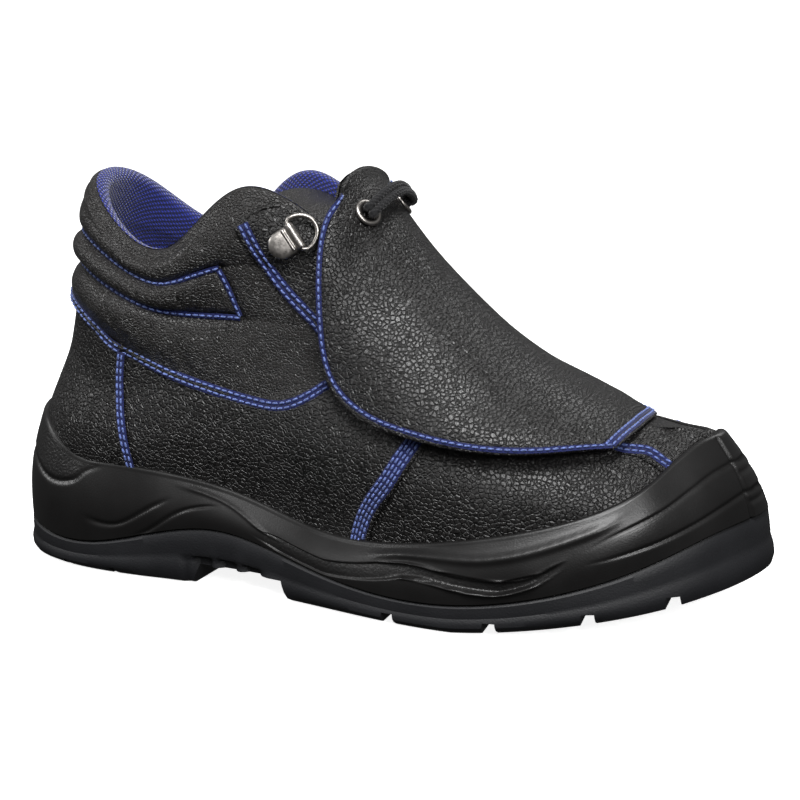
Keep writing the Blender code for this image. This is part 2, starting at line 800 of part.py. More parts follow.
def eyelet_frame(side):
    v = side * EYELET_V
    return frame_on(guard_point(EYELET_S, v), guard_normal(EYELET_S, v), Vector((1, 0, 0)))


def add_eyelets():
    """Rolled metal eyelets on the guard's outer face."""
    for side, name in ((-1, "outer"), (1, "inner")):
        low = GUARD_THICKNESS + CLEARANCE
        profile = [
            (EYELET_RADIUS, low),
            (EYELET_RADIUS - HOLE_GAP, low + EYELET_HEIGHT * 0.55),
            ((EYELET_RADIUS + EYELET_HOLE) / 2, low + EYELET_HEIGHT),
            (EYELET_HOLE, low + EYELET_HEIGHT * 0.5),
            (EYELET_HOLE - CLEARANCE, low),
        ]
        steps = 20
        rings = []
        for k in range(steps):
            angle = 2 * math.pi * k / steps
            rings.append([
                Vector((r * math.cos(angle), r * math.sin(angle), z)) for r, z in profile
            ])
        points = [p for ring in rings for p in ring]
        wide = len(profile)
        faces = []
        for k in range(steps):
            a, b = k * wide, (k + 1) % steps * wide
            for i in range(wide):
                j = (i + 1) % wide
                faces.append((a + i, a + j, b + j, b + i))
        eyelet = add_object(f"eyelet_{name}", mesh_from(f"eyelet_{name}", points, faces), nickel)
        eyelet.matrix_world = eyelet_frame(side)


def ring_frame(side):
    """Where a D-ring's clip sits on the facing, +X pointing to the throat."""
    t = RING_STATION if side < 0 else STATIONS - RING_STATION
    edge, low = wall_point(t, 1.0), wall_point(t, 0.90)
    normal = wall_normal(t, 0.93)
    along = wall_point(t + 0.2, 1.0) - wall_point(t - 0.2, 1.0)
    across = normal.cross(along).normalized()
    across *= math.copysign(1.0, across.dot(edge - low))
    place = edge - across * RING_EDGE_GAP
    flat = frame_on(place, normal, across)
    under = []
    for i in range(-8, 9):
        for j in range(16):
            skin = skin_point(t + 0.06 * i, 0.70 + 0.02 * j, OVERLAY_LIFT + OVERLAY_THICKNESS)
            u, v, w = flat.inverted() @ skin
            if -CLIP_LENGTH <= u <= CLIP_WIDTH / 4 and abs(v) <= CLIP_WIDTH / 2:
                under.append(w)
    return flat @ Matrix.Translation((0, 0, max(under) + CLEARANCE))


def add_clip(name, frame):
    """A folded plate whose loop holds the ring's straight bar."""
    loop = RING_WIRE + CLEARANCE + CLIP_PLATE
    hole = RING_WIRE + CLEARANCE
    curve = bpy.data.curves.new(name, "CURVE")
    curve.dimensions = "2D"
    curve.fill_mode = "BOTH"
    curve.extrude = CLIP_WIDTH / 2
    curve.resolution_u = 2
    outside = [(-CLIP_LENGTH, CLIP_PLATE), (-CLIP_LENGTH, 0.0)]
    turns = 9
    for k in range(turns):
        angle = math.radians(-90 + 225 * k / (turns - 1))
        outside.append((loop * math.cos(angle), loop + loop * math.sin(angle)))
    outside.append((-loop - CLIP_PLATE * 0.8, CLIP_PLATE))
    inside = [
        (hole * math.cos(a), loop + hole * math.sin(a))
        for a in (2 * math.pi * k / 8 for k in range(8))
    ]
    for points in (outside, inside):
        spline = curve.splines.new("POLY")
        spline.points.add(len(points) - 1)
        for point, (u, w) in zip(spline.points, points):
            point.co = (u, w, 0, 1)
        spline.use_cyclic_u = True
    clip = add_object(name, curve, nickel)
    clip.matrix_world = frame @ Matrix.Rotation(math.radians(90), 4, "X")
    return clip


def add_ring(name, frame):
    """A D of wire: a straight bar in the clip and a round bow."""
    loop = RING_WIRE + CLEARANCE + CLIP_PLATE
    half, reach = RING_HALF_WIDTH, RING_REACH
    points = [(0.0, -half), (0.0, half)]
    bends = 9
    for k in range(bends):
        angle = math.radians(90 - 180 * k / (bends - 1))
        points.append((RING_WIRE + (reach - RING_WIRE) * math.cos(angle), half * math.sin(angle)))
    curve = bpy.data.curves.new(name, "CURVE")
    curve.dimensions = "3D"
    curve.bevel_depth = RING_WIRE
    curve.bevel_resolution = 1
    spline = curve.splines.new("POLY")
    spline.points.add(len(points) - 1)
    for point, (u, v) in zip(spline.points, points):
        point.co = (u, v, loop, 1)
    spline.use_cyclic_u = True
    ring = add_object(name, curve, nickel)
    ring.matrix_world = frame
    return ring


def add_lacing():
    """A D-ring in a folded clip at the top of each facing."""
    for side, name in ((-1, "outer"), (1, "inner")):
        frame = ring_frame(side)
        add_clip(f"clip_{name}", frame)
        add_ring(f"ring_{name}", frame)


def smooth_route(points, spacing):
    """Points spaced along a smooth curve through a route's own points."""
    curves = [natural_spline([p[axis] for p in points]) for axis in range(3)]
    route, last = [], None
    fine = 400
    for k in range(fine + 1):
        s = (len(points) - 1) * k / fine
        place = Vector([curve(s) for curve in curves])
        if last is None or (place - last).length >= spacing or k == fine:
            route.append(place)
            last = place
    return route


def add_cord(name, points):
    route = smooth_route(points, LACE_RADIUS * 1.6)
    curve = bpy.data.curves.new(name, "CURVE")
    curve.dimensions = "3D"
    curve.bevel_depth = LACE_RADIUS
    curve.bevel_resolution = 2
    curve.use_fill_caps = True
    spline = curve.splines.new("POLY")
    spline.points.add(len(route) - 1)
    for point, place in zip(spline.points, route):
        point.co = (*place, 1)
    return add_object(name, curve, lace_black)


def add_lace():
    """The tie that shows: a doubled lace from eyelet to eyelet over the guard."""
    left, right = eyelet_frame(-1), eyelet_frame(1)
    top = GUARD_THICKNESS + EYELET_HEIGHT + CLEARANCE + LACE_RADIUS
    bend = LACE_RADIUS
    heights = (CLEARANCE, top - bend, top + bend)
    up = guard_point(EYELET_S + 0.1, 0.0) - guard_point(EYELET_S - 0.1, 0.0)
    up.normalize()
    ridge = guard_point(EYELET_S, 0.0) + guard_normal(EYELET_S, 0.0) * (top + LACE_RISE)
    for side, name in ((-1, "front"), (1, "back")):
        shift = up * side * LACE_SPACING / 2
        route = [left @ Vector((0, 0, z)) for z in heights]
        route.append(ridge)
        route += [right @ Vector((0, 0, z)) for z in reversed(heights)]
        add_cord(f"lace_{name}", [place + shift for place in route])


for old in list(bpy.data.objects):
    bpy.data.objects.remove(old)

boot = bpy.data.collections.new("metatarsal guard boot")
cutters = bpy.data.collections.new("cutters")
for group in (boot, cutters):
    bpy.context.scene.collection.children.link(group)

black_leather = material("black pebbled leather", (0.022, 0.021, 0.021), 0.45)
soft_leather = material("black collar leather", (0.026, 0.024, 0.023), 0.55)
moulded_foam = material("black moulded foam", (0.020, 0.019, 0.018), 0.50)
tread_rubber = material("black tread rubber", (0.022, 0.022, 0.023), 0.62)
lining_felt = material("dark insole felt", (0.030, 0.032, 0.045), 0.90)
lace_black = material("black braided lace", (0.012, 0.012, 0.014), 0.80)
nickel = material("dull nickel", (0.50, 0.49, 0.47), 0.32, 1.0)

upper = add_upper()
add_midsole()
add_outsole()
add_insole()
add_overlays()
add_tongue()
add_guard(upper)
add_eyelets()
add_lacing()
add_lace()


def stand_on_origin():
    """Move every piece so that the boot's box stands centred on the origin."""
    graph = bpy.context.evaluated_depsgraph_get()
    corners = []
    for piece in boot.objects:
        shape = piece.evaluated_get(graph)
        corners += [piece.matrix_world @ v.co for v in shape.to_mesh().vertices]
        shape.to_mesh_clear()
    low = Vector([min(c[axis] for c in corners) for axis in range(3)])
    high = Vector([max(c[axis] for c in corners) for axis in range(3)])
    shift = Matrix.Translation((-(low.x + high.x) / 2, -(low.y + high.y) / 2, -low.z))
    for piece in [*boot.objects, *cutters.objects]:
        piece.matrix_world = shift @ piece.matrix_world


bpy.context.view_layer.update()
stand_on_origin()
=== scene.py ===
import math

import bmesh
import bpy
import numpy as np
from mathutils import Matrix, Vector


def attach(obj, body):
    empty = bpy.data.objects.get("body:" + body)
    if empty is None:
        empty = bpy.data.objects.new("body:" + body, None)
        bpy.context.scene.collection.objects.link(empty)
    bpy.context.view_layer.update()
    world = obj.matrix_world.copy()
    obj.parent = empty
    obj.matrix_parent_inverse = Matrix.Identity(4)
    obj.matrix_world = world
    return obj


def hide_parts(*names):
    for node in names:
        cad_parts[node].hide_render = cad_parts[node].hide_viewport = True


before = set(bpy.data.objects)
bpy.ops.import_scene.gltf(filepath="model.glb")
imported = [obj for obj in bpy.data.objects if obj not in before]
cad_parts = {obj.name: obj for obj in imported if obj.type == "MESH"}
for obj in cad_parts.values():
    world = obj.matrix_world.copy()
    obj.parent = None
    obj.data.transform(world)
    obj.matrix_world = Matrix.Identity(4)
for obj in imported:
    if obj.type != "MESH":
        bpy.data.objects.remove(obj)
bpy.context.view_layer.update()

fineness = 1.0
rng = np.random.default_rng(7)
anchorStep = 0.025  # stations between the kept section marks
stationSize, rowSize, shareSize = 0.047, 0.0068, 0.030  # rough metres, for the drawn lines
curveScale = (12.0, 3.0)  # stations and rows are stretched to like sizes before a curve is spaced

# Sizes of the boot, in metres, and its stations from the toe tip (0) along
# the outer side to the heel (8) and back along the inner side (16)
shoe = {
    "length": 0.305,
    "ball": 0.114,
    "heel": 0.086,
    "sole": 0.045,
    "shaft": 0.156,
    "throat": 0.060,
    "feather": 0.009,  # how far the upper's foot lies inside the sole's edge
    "roll": 0.0034,
    "wall": 0.0026,
    "pad": 0.0085,
    "lip": 0.0030,
    "trim": 0.0019,
}
shift = np.array([-0.151885, -0.000194, 0.0])

# x, then the side as shares of the ball and heel widths
outlineTable = [
    (1.000, 0.15, 0.00), (0.958, -0.13, 0.00), (0.850, -0.365, 0.00), (0.670, -0.500, 0.00),
    (0.480, -0.440, 0.00), (0.320, 0.00, -0.515), (0.155, 0.00, -0.525), (0.037, 0.00, -0.37),
    (0.000, 0.00, 0.00), (0.037, 0.00, 0.36), (0.155, 0.00, 0.48), (0.320, 0.00, 0.43),
    (0.470, 0.315, 0.00), (0.700, 0.475, 0.00), (0.880, 0.485, 0.00), (0.975, 0.365, 0.00),
]
# tread, split and feather lines, rim share and tuck, toe to heel
soleTable = [
    (0.350, 0.85, 0.72, 0.970, 0.080), (0.290, 0.80, 0.68, 0.882, 0.060),
    (0.150, 0.50, 0.56, 0.581, 0.015), (0.000, 0.25, 0.45, 0.264, 0.000),
    (-0.040, 0.33, 0.46, 0.110, 0.000), (0.000, 0.52, 0.56, 0.277, 0.000),
    (-0.010, 0.28, 0.62, 0.276, 0.000), (-0.010, 0.32, 0.62, 0.213, 0.000),
    (0.050, 0.37, 0.62, 0.242, 0.000),
]
# seam, lower, upper and top lines, then the top line's x and side
upperTable = [
    (0.440, 0.447, 0.454, 0.462, 0.885, 0.00), (0.425, 0.438, 0.451, 0.464, 0.825, 0.00),
    (0.390, 0.435, 0.475, 0.513, 0.730, 0.00), (0.425, 0.495, 0.560, 0.625, 0.640, 0.00),
    (0.525, 0.640, 0.740, 0.830, 0.510, 0.30), (0.485, 0.680, 0.810, 0.985, 0.360, 0.50),
    (0.555, 0.695, 0.757, 0.818, 0.250, 0.60), (0.640, 0.770, 0.845, 0.920, 0.135, 0.45),
    (0.655, 0.780, 0.860, 0.985, 0.095, 0.00),
]
# roundness, belly, ankle, collar, padding and roll
sectionTable = [
    (1.00, 0.010, 0.000, 0.000, 0.0, 0.0), (0.95, 0.020, 0.000, 0.000, 0.0, 0.0),
    (0.86, 0.030, 0.000, 0.000, 0.0, 0.0), (0.86, 0.035, 0.000, 0.000, 0.0, 0.0),
    (0.60, 0.045, 0.005, 0.000, 0.1, 0.0), (0.15, 0.040, -0.005, 0.020, 0.8, 0.5),
    (0.00, 0.040, -0.010, 0.020, 1.0, 1.0), (0.00, 0.040, -0.010, 0.020, 1.0, 1.0),
    (0.00, 0.045, -0.005, 0.020, 1.0, 1.0),
]


def naturalSpline(values, periodic=False):
    shape = np.shape(values)[1:]
    y = np.array(values, float).reshape(len(values), -1)
    n = len(y)
    a = np.zeros((n, n))
    b = np.zeros(y.shape)
    for i in range(n):
        if periodic or 0 < i < n - 1:
            a[i, (i - 1) % n] += 1
            a[i, i] += 4
            a[i, (i + 1) % n] += 1
            b[i] = 6 * (y[(i - 1) % n] - 2 * y[i] + y[(i + 1) % n])
        else:
            a[i, i] = 1
    m = np.linalg.solve(a, b)

    def evaluate(s):
        s = np.asarray(s, float)
        s = s % n if periodic else np.clip(s, 0, n - 1)
        i = np.floor(s).astype(int)
        if not periodic:
            i = np.minimum(i, n - 2)
        u = s - i
        i = i % n
        j = (i + 1) % n
        u = u[..., None]
        w = 1 - u
        made = w * y[i] + u * y[j] + ((w**3 - w) * m[i] + (u**3 - u) * m[j]) / 6
        return made.reshape(s.shape + shape)

    return evaluate


def mirroredSpline(table, column):
    side = [row[column] for row in table]
    return naturalSpline(side + side[-2:0:-1], periodic=True)


def sideStation(t):
    # stations from the toe along either side, 0 to 8
    return np.abs((np.asarray(t) + 8) % 16 - 8)


def roundStations(count):
    return np.linspace(0, 16, count + 1)[:-1]


def countFor(full):
    return int(full * fineness)


outlineX = naturalSpline([row[0] * shoe["length"] for row in outlineTable], periodic=True)
outlineY = naturalSpline(
    [row[1] * shoe["ball"] + row[2] * shoe["heel"] for row in outlineTable], periodic=True
)
treadLine, splitLine, featherLine, rimShare, tuckLine = (
    mirroredSpline(soleTable, k) for k in range(5)
)
seamLine, lowerLine, upperLine, topLine, topX = (mirroredSpline(upperTable, k) for k in range(5))
roundness, belly, ankle, collar, padding, rolling = (
    mirroredSpline(sectionTable, k) for k in range(6)
)
throatSide = naturalSpline([0.0, -0.30, -0.50, -0.60, -0.45, 0.0, 0.45, 0.60, 0.50, 0.30, 0.0])


def topY(t):
    # zero along the ridge, negative on the outer side
    return throatSide(np.asarray(t) % 16 - 3) * (sideStation(t) > 3)


def stack(*parts):
    return np.stack(np.broadcast_arrays(*parts), -1)


def outlineAt(t, out=0.0):
    t = np.asarray(t, float)
    dx = outlineX(t + 0.01) - outlineX(t - 0.01)
    dy = outlineY(t + 0.01) - outlineY(t - 0.01)
    size = np.hypot(dx, dy)
    outward = stack(-dy / size, dx / size)
    return stack(outlineX(t), outlineY(t)) + outward * np.asarray(out)[..., None], outward


def swell(h, middle, half):
    reach = np.abs(h - middle) / half
    return np.where(reach < 1, 0.5 + 0.5 * np.cos(np.pi * np.minimum(reach, 1)), 0.0)


def heightAt(t, h):
    low = featherLine(t) * shoe["sole"]
    turned = np.sin(np.pi * h / 2) ** 0.80
    share = h + (turned - h) * np.clip(roundness(t), 0, 1)
    return low + (topLine(t) * shoe["shaft"] - low) * share


def wallAt(t, h):
    t, h = np.broadcast_arrays(np.asarray(t, float), np.clip(h, 0, 1))
    foot, outward = outlineAt(t, -shoe["feather"])
    top = stack(topX(t) * shoe["length"], topY(t) * shoe["throat"])
    turn = 1 - np.maximum(np.cos(np.pi * h / 2), 0.0) ** 0.80
    lean = h + (turn - h) * np.clip(roundness(t), 0, 1)
    out = shoe["ball"] * (
        belly(t) * swell(h, 0.25, 0.25)
        + ankle(t) * swell(h, 0.58, 0.22)
        + collar(t) * swell(h, 0.84, 0.16)
    )
    plan = foot + (top - foot) * lean[..., None] + outward * out[..., None]
    return np.concatenate([plan, heightAt(t, h)[..., None]], -1)


def unit(v):
    return v / np.maximum(np.linalg.norm(v, axis=-1, keepdims=True), 1e-12)


def normalAt(t, h):
    t, h = np.broadcast_arrays(np.asarray(t, float), np.asarray(h, float))
    across = wallAt(t + 0.02, h) - wallAt(t - 0.02, h)
    up = wallAt(t, np.minimum(h + 0.01, 1)) - wallAt(t, np.maximum(h - 0.01, 0))
    normal = unit(np.cross(up, across))
    # the ridge has no direction at the toe tip, so it is read half a station on
    around = (t + 8) % 16 - 8
    behind = t + np.where(np.abs(around) < 0.3, np.where(around < 0, -0.5, 0.5), 0.0)
    along = wallAt(behind + 0.02, 1.0) - wallAt(behind - 0.02, 1.0)
    side = np.where(along[..., 0] > 0, 1.0, -1.0)
    ridge = unit(stack(-along[..., 2] * side, 0 * side, along[..., 0] * side))
    near = np.clip((h - 0.97) / 0.03, 0, 1) * (sideStation(t) < 3.3)
    return unit(normal + (ridge - normal) * near[..., None])


rowMarks = (0, 3, 7, 10, 13, 17)  # foot, rim, seam, lower roll, upper roll, top
fineT = np.arange(0, 16, anchorStep)


def rimHeight(t):
    low, high = featherLine(t) * shoe["sole"], seamLine(t) * shoe["shaft"]
    return low + (high - low) * rimShare(t)


def tuck(t):
    return -tuckLine(t) * shoe["sole"]


def makeAnchors():
    wanted = [
        rimHeight(fineT), seamLine(fineT) * shoe["shaft"],
        lowerLine(fineT) * shoe["shaft"], upperLine(fineT) * shoe["shaft"],
    ]
    columns = [np.zeros(len(fineT))]
    for z in wanted:
        low, high = np.zeros(len(fineT)), np.ones(len(fineT))
        for _ in range(28):
            middle = (low + high) / 2
            under = heightAt(fineT, middle) < z
            low, high = np.where(under, middle, low), np.where(under, high, middle)
        columns.append((low + high) / 2)
    return np.stack(columns + [np.ones(len(fineT))], 1)


anchors = makeAnchors()


def shareAt(t, row):
    t, row = np.broadcast_arrays(np.asarray(t, float), np.asarray(row, float))
    s = (t % 16) / anchorStep
    i = np.floor(s).astype(int)
    u = (s - i)[..., None]
    table = anchors[i % len(anchors)] * (1 - u) + anchors[(i + 1) % len(anchors)] * u
    h = table[..., 0] * 0
    for k in range(5):
        part = np.clip((row - rowMarks[k]) / (rowMarks[k + 1] - rowMarks[k]), 0, 1)
        h = np.where(row >= rowMarks[k], table[..., k] + (table[..., k + 1] - table[..., k]) * part, h)
    return h


def rollAt(t, row):
    out = np.zeros(np.broadcast(t, row).shape)
    for low, high in ((7, 10), (10, 13), (13, 17)):
        part = np.clip((row - low) / (high - low), 0, 1)
        bulge = shoe["roll"] * np.maximum(rolling(t), 0) * np.sin(np.pi * part) ** 0.7
        out = np.where((row >= low) & (row <= high), bulge, out)
    return out


def smoothStep(x):
    x = np.clip(x, 0, 1)
    return x * x * (3 - 2 * x)


def heelTrim(t, row):
    # the leather is drawn in round the heel, between the bumper and the top
    up = smoothStep((row - 3.0) / 2.0) * smoothStep((17 - row) / 1.5)
    return shoe["trim"] * smoothStep((sideStation(t) - 6.1) / 1.0) * up


def skinAt(t, row, out=0.0):
    h = shareAt(t, row)
    lift = rollAt(t, row) + out - heelTrim(t, row)
    return wallAt(t, h) + normalAt(t, h) * lift[..., None] + shift


def skinNormal(t, row):
    return normalAt(t, shareAt(t, row))


def thicknessAt(t, row):
    padded = np.clip((row - 7) / 6, 0, 1)
    return shoe["wall"] + (shoe["pad"] - shoe["wall"]) * padded * np.clip(padding(t), 0, 1)


def innerAt(t, row, out=0.0):
    h = shareAt(t, row)
    return wallAt(t, h) - normalAt(t, h) * (thicknessAt(t, row) + out)[..., None] + shift


# Building meshes


def makeMesh(name, points, faces):
    mesh = bpy.data.meshes.new(name)
    mesh.from_pydata(np.reshape(points, (-1, 3)).tolist(), [], np.asarray(faces).tolist())
    return mesh


def addObject(name, data):
    made = bpy.data.objects.new(name, data)
    bpy.context.scene.collection.objects.link(made)
    return made


def addPiece(name, mesh, finish, smooth=True):
    mesh.materials.append(finish)
    if smooth:
        mesh.shade_smooth()
    return addObject(name, mesh)


def arcUv(points):
    # lengths along and up a grid, in metres, for the weaves and knits
    across = np.linalg.norm(np.diff(points, axis=1), axis=-1)
    up = np.linalg.norm(np.diff(points, axis=0), axis=-1)
    u = np.concatenate([np.zeros((points.shape[0], 1)), np.cumsum(across, 1)], 1)
    v = np.concatenate([np.zeros((1, points.shape[1])), np.cumsum(up, 0)], 0)
    return np.stack([np.broadcast_to(u.mean(0), u.shape), v], -1)


def gridQuads(rows, columns, closed=False):
    index = np.arange(rows * columns).reshape(rows, columns)
    right = np.roll(index, -1, 1) if closed else index[:, 1:]
    left = index if closed else index[:, :-1]
    return np.stack([left[:-1], right[:-1], right[1:], left[1:]], -1).reshape(-1, 4)


def gridMesh(name, points, finish, closed=False, flip=False):
    quads = gridQuads(*points.shape[:2], closed)
    mesh = makeMesh(name, points, quads[:, ::-1] if flip else quads)
    layer = mesh.uv_layers.new(name="size")
    loops = np.zeros(len(mesh.loops), int)
    mesh.loops.foreach_get("vertex_index", loops)
    layer.data.foreach_set("uv", arcUv(points).reshape(-1, 2)[loops].ravel())
    return addPiece(name, mesh, finish)


def finishPiece(piece, slot, *nodes):
    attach(piece, "root")
    if nodes:
        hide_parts(*nodes)


def lengthsAlong(line):
    return np.concatenate([[0], np.cumsum(np.linalg.norm(np.diff(line, axis=0), axis=1))])


def readAlong(values, lengths, wanted):
    return np.stack([np.interp(wanted, lengths, values[:, k]) for k in range(values.shape[1])], -1)


def polyline(points, count):
    # count places spaced evenly along a smooth curve through points
    points = np.array(points, float)
    curve = naturalSpline(points)
    fine = curve(np.linspace(0, len(points) - 1, 60 * (len(points) - 1) + 1))
    lengths = lengthsAlong(fine)
    return readAlong(fine, lengths, np.linspace(0, lengths[-1], count))


def evenly(line, normals, step=0.0005):
    lengths = lengthsAlong(line)
    wanted = np.linspace(0, lengths[-1], max(int(lengths[-1] / step), 8))
    return readAlong(line, lengths, wanted), unit(readAlong(normals, lengths, wanted))


# The padding over the quarter: how far it swells, at which row and from which station
padPlan = {"puff": 0.0014, "row": 8.7, "rows": 1.5, "front": 4.4, "fade": 0.8}


def padShape(t, row):
    back = smoothStep((sideStation(t) - padPlan["front"]) / padPlan["fade"])
    return padPlan["puff"] * swell(row, padPlan["row"], padPlan["rows"]) * back


def skinCurve(name, mirrored, out=None):
    # a fine line on the upper from seamPlan, on the padding unless out is given
    places = np.array(seamPlan[name], float)
    if mirrored:
        places = np.stack([16 - places[:, 0], places[:, 1]], 1)
    fine = polyline(places * curveScale, 300) / curveScale
    t, row = fine[:, 0], fine[:, 1]
    return evenly(skinAt(t, row, padShape(t, row) if out is None else out), skinNormal(t, row))


def nearestGap(places, line, part=4000):
    # distance from each place to a line, a part at a time to spare memory
    best = np.full(len(places), 1e9)
    for start in range(0, len(places), part):
        gap = np.linalg.norm(places[start:start + part, None] - line[None, ::2], axis=-1)
        best[start:start + part] = gap.min(1)
    return best


def seamDip(points, wanted):
    # how far the leather sinks under the listed seams: line, depth and width
    flat = points.reshape(-1, 3)
    dip = np.zeros(len(flat))
    for line, depth, width in wanted:
        reach = 3.2 * width
        near = np.all((flat > line.min(0) - reach) & (flat < line.max(0) + reach), 1)
        best = nearestGap(flat[near], line)
        dip[near] = np.maximum(dip[near], depth * np.exp(-((best / width) ** 2)))
    return dip.reshape(points.shape[:-1])


# Seams of the upper as (station, row) points of the outer side
seamPlan = {
    "quarterTop": [
        (6.3, 6.85), (6.0, 7.0), (5.7, 7.15), (5.22, 7.15), (4.9, 6.9), (4.6, 6.5), (4.34, 6.4),
        (4.1, 6.9), (3.96, 7.6),
    ],
    "counterTop": [(8.0, 7.9), (7.4, 7.6), (6.9, 7.25), (6.5, 6.9), (6.24, 6.85)],
    "counter": [(5.72, 1.6), (5.77, 3.0), (5.94, 4.5), (6.15, 5.8), (6.24, 6.9)],
    "vamp": [(3.76, 2.0), (3.71, 3.2), (3.58, 4.2), (3.46, 5.0), (3.33, 6.4), (3.17, 8.4)],
    "rollUpper": [(8.0, 13.0), (7.3, 13.0), (6.7, 13.0), (6.2, 13.0), (5.7, 13.0), (5.16, 13.0)],
    "rollEnd": [(5.16, 12.9), (5.03, 11.5), (4.92, 10.1)],
    "rollLower": [(8.0, 10.0), (7.3, 10.0), (6.6, 10.0), (6.2, 10.0), (5.6, 10.0), (4.92, 10.0)],
    "eyestay": [
        (4.97, 15.2), (4.80, 13.7), (4.60, 12.2), (4.42, 11.2), (4.24, 10.4), (4.12, 9.6), (4.03, 8.7),
    ],
    "facingTop": [(4.99, 15.1), (4.83, 15.9), (4.68, 16.5)],
    "toeSideInner": [(1.60, 9.3), (1.52, 8.5), (1.42, 7.8), (1.30, 5.6), (1.20, 2.9)],
    "toeSide": [(1.72, 10.4), (1.66, 9.0), (1.42, 7.8), (1.30, 5.6), (1.20, 2.9)],
}

# Panels: (station, row) points of the lower, upper, front and rear edges,
# and each seam with how far its rows of thread lie beside it
panelPlan = {
    "quarter": {
        "low": [(3.68, 1.6), (4.4, 1.6), (5.2, 1.6), (6.3, 1.6)],
        "high": [
            (3.08, 8.6), (3.62, 8.9), (3.86, 8.2), (3.99, 7.75), (4.12, 7.1), (4.34, 6.68),
            (4.60, 6.75), (4.90, 7.12), (5.22, 7.38), (5.70, 7.38), (6.3, 7.22),
        ],
        "front": [(3.68, 1.6), (3.63, 3.1), (3.50, 4.1), (3.38, 5.0), (3.25, 6.4), (3.08, 8.6)],
        "rear": [(6.3, 1.6), (6.3, 4.0), (6.3, 7.22)],
        "lift": 0.0, "thick": 0.0013, "columns": 220, "rows": 100,
        "seams": (("quarterTop", (0.0004, 0.0024)), ("vamp", (0.0023, 0.0008, -0.0008, -0.0023))),
    },
    "facing": {
        "low": [(4.03, 8.2), (3.9, 10.5), (3.80, 13.5), (3.75, 16.9)],
        "high": [(5.03, 15.1), (4.86, 16.1), (4.72, 16.7), (4.60, 16.9)],
        "front": [
            (4.03, 8.2), (4.17, 9.6), (4.29, 10.4), (4.47, 11.2), (4.65, 12.2), (4.86, 13.7),
            (5.03, 15.1),
        ],
        "rear": [(3.75, 16.9), (4.1, 16.9), (4.60, 16.9)],
        "lift": 0.0002, "thick": 0.0014, "columns": 90, "rows": 110,
        "seams": (("eyestay", (0.0, 0.0023)),), "pressed": 0.0008,
    },
}
# Panels round an end of the boot: (station, share up) points of the edge, then
# (station, row) points of the top
counterPlan = {
    "middle": 8, "edge": [(5.66, 0.0), (5.71, 0.26), (5.88, 0.52), (6.09, 0.76), (6.18, 1.0)],
    "top": [(5.6, 7.2), (6.5, 7.2), (6.9, 7.55), (7.4, 7.9), (8.0, 8.2)],
    "low": 1.6, "lift": 0.0008, "thick": 0.0013, "columns": 280, "rows": 90,
    "seamRows": (0.0, 0.0017), "topSeam": 0.0004, "topSpread": 1.2,
}
toePlan = {
    "middle": 0, "edge": [(1.26, 0.0), (1.30, 0.15), (1.40, 0.42), (1.52, 0.64), (1.76, 0.82), (1.84, 1.0)],
    "top": [(0.0, 11.2), (1.0, 11.0), (2.0, 10.6)],
    "low": 1.6, "lift": 0.0, "thick": 0.0012, "columns": 220, "rows": 90, "seamRows": (0.0, 0.0020),
}


# Materials


def makeMaterial(name, colour, roughness, metallic=0.0, specular=0.5):
    finish = bpy.data.materials.new(name)
    finish.use_nodes = True
    shader = finish.node_tree.nodes["Principled BSDF"]
    shader.inputs["Base Color"].default_value = (*colour, 1.0)
    shader.inputs["Roughness"].default_value = roughness
    shader.inputs["Metallic"].default_value = metallic
    shader.inputs["Specular IOR Level"].default_value = specular
    return finish, finish.node_tree, shader


def addNode(tree, kind, inputs=None, **settings):
    node = tree.nodes.new("ShaderNode" + kind)
    for key, value in settings.items():
        setattr(node, key, value)
    for key, value in (inputs or {}).items():
        if isinstance(value, bpy.types.NodeSocket):
            tree.links.new(value, node.inputs[key])
        else:
            node.inputs[key].default_value = value
    return node


def addRamp(tree, factor, low, high, dark, light):
    ramp = addNode(tree, "ValToRGB", {"Fac": factor})
    ramp.color_ramp.elements[0].position = low
    ramp.color_ramp.elements[1].position = high
    ramp.color_ramp.elements[0].color = (*dark, 1.0)
    ramp.color_ramp.elements[1].color = (*light, 1.0)
    return ramp.outputs["Color"]


def addRange(tree, value, low, high, toLow, toHigh):
    inputs = {"Value": value, "From Min": low, "From Max": high, "To Min": toLow, "To Max": toHigh}
    return addNode(tree, "MapRange", inputs).outputs["Result"]


def addNoise(tree, place, scale, detail):
    return addNode(tree, "TexNoise", {"Vector": place, "Scale": scale, "Detail": detail}).outputs["Fac"]


def addBump(tree, height, distance, strength, below=None):
    inputs = {"Height": height, "Distance": distance, "Strength": strength}
    if below is not None:
        inputs["Normal"] = below
    return addNode(tree, "Bump", inputs).outputs["Normal"]


def addCells(tree, place, scale, randomness, edge):
    # 0 in the lines between the cells and 1 over their backs
    inputs = {"Vector": place, "Scale": scale, "Randomness": randomness}
    cells = addNode(tree, "TexVoronoi", inputs, feature="DISTANCE_TO_EDGE")
    inputs = {"Value": cells.outputs["Distance"], "From Max": edge}
    return addNode(tree, "MapRange", inputs, interpolation_type="SMOOTHSTEP").outputs["Result"]


def finishShader(tree, shader, bump, colour=None, rough=None):
    for key, value in (("Normal", bump), ("Base Color", colour), ("Roughness", rough)):
        if value is not None:
            tree.links.new(value, shader.inputs[key])


def darker(colour, share):
    return tuple(c * share for c in colour)


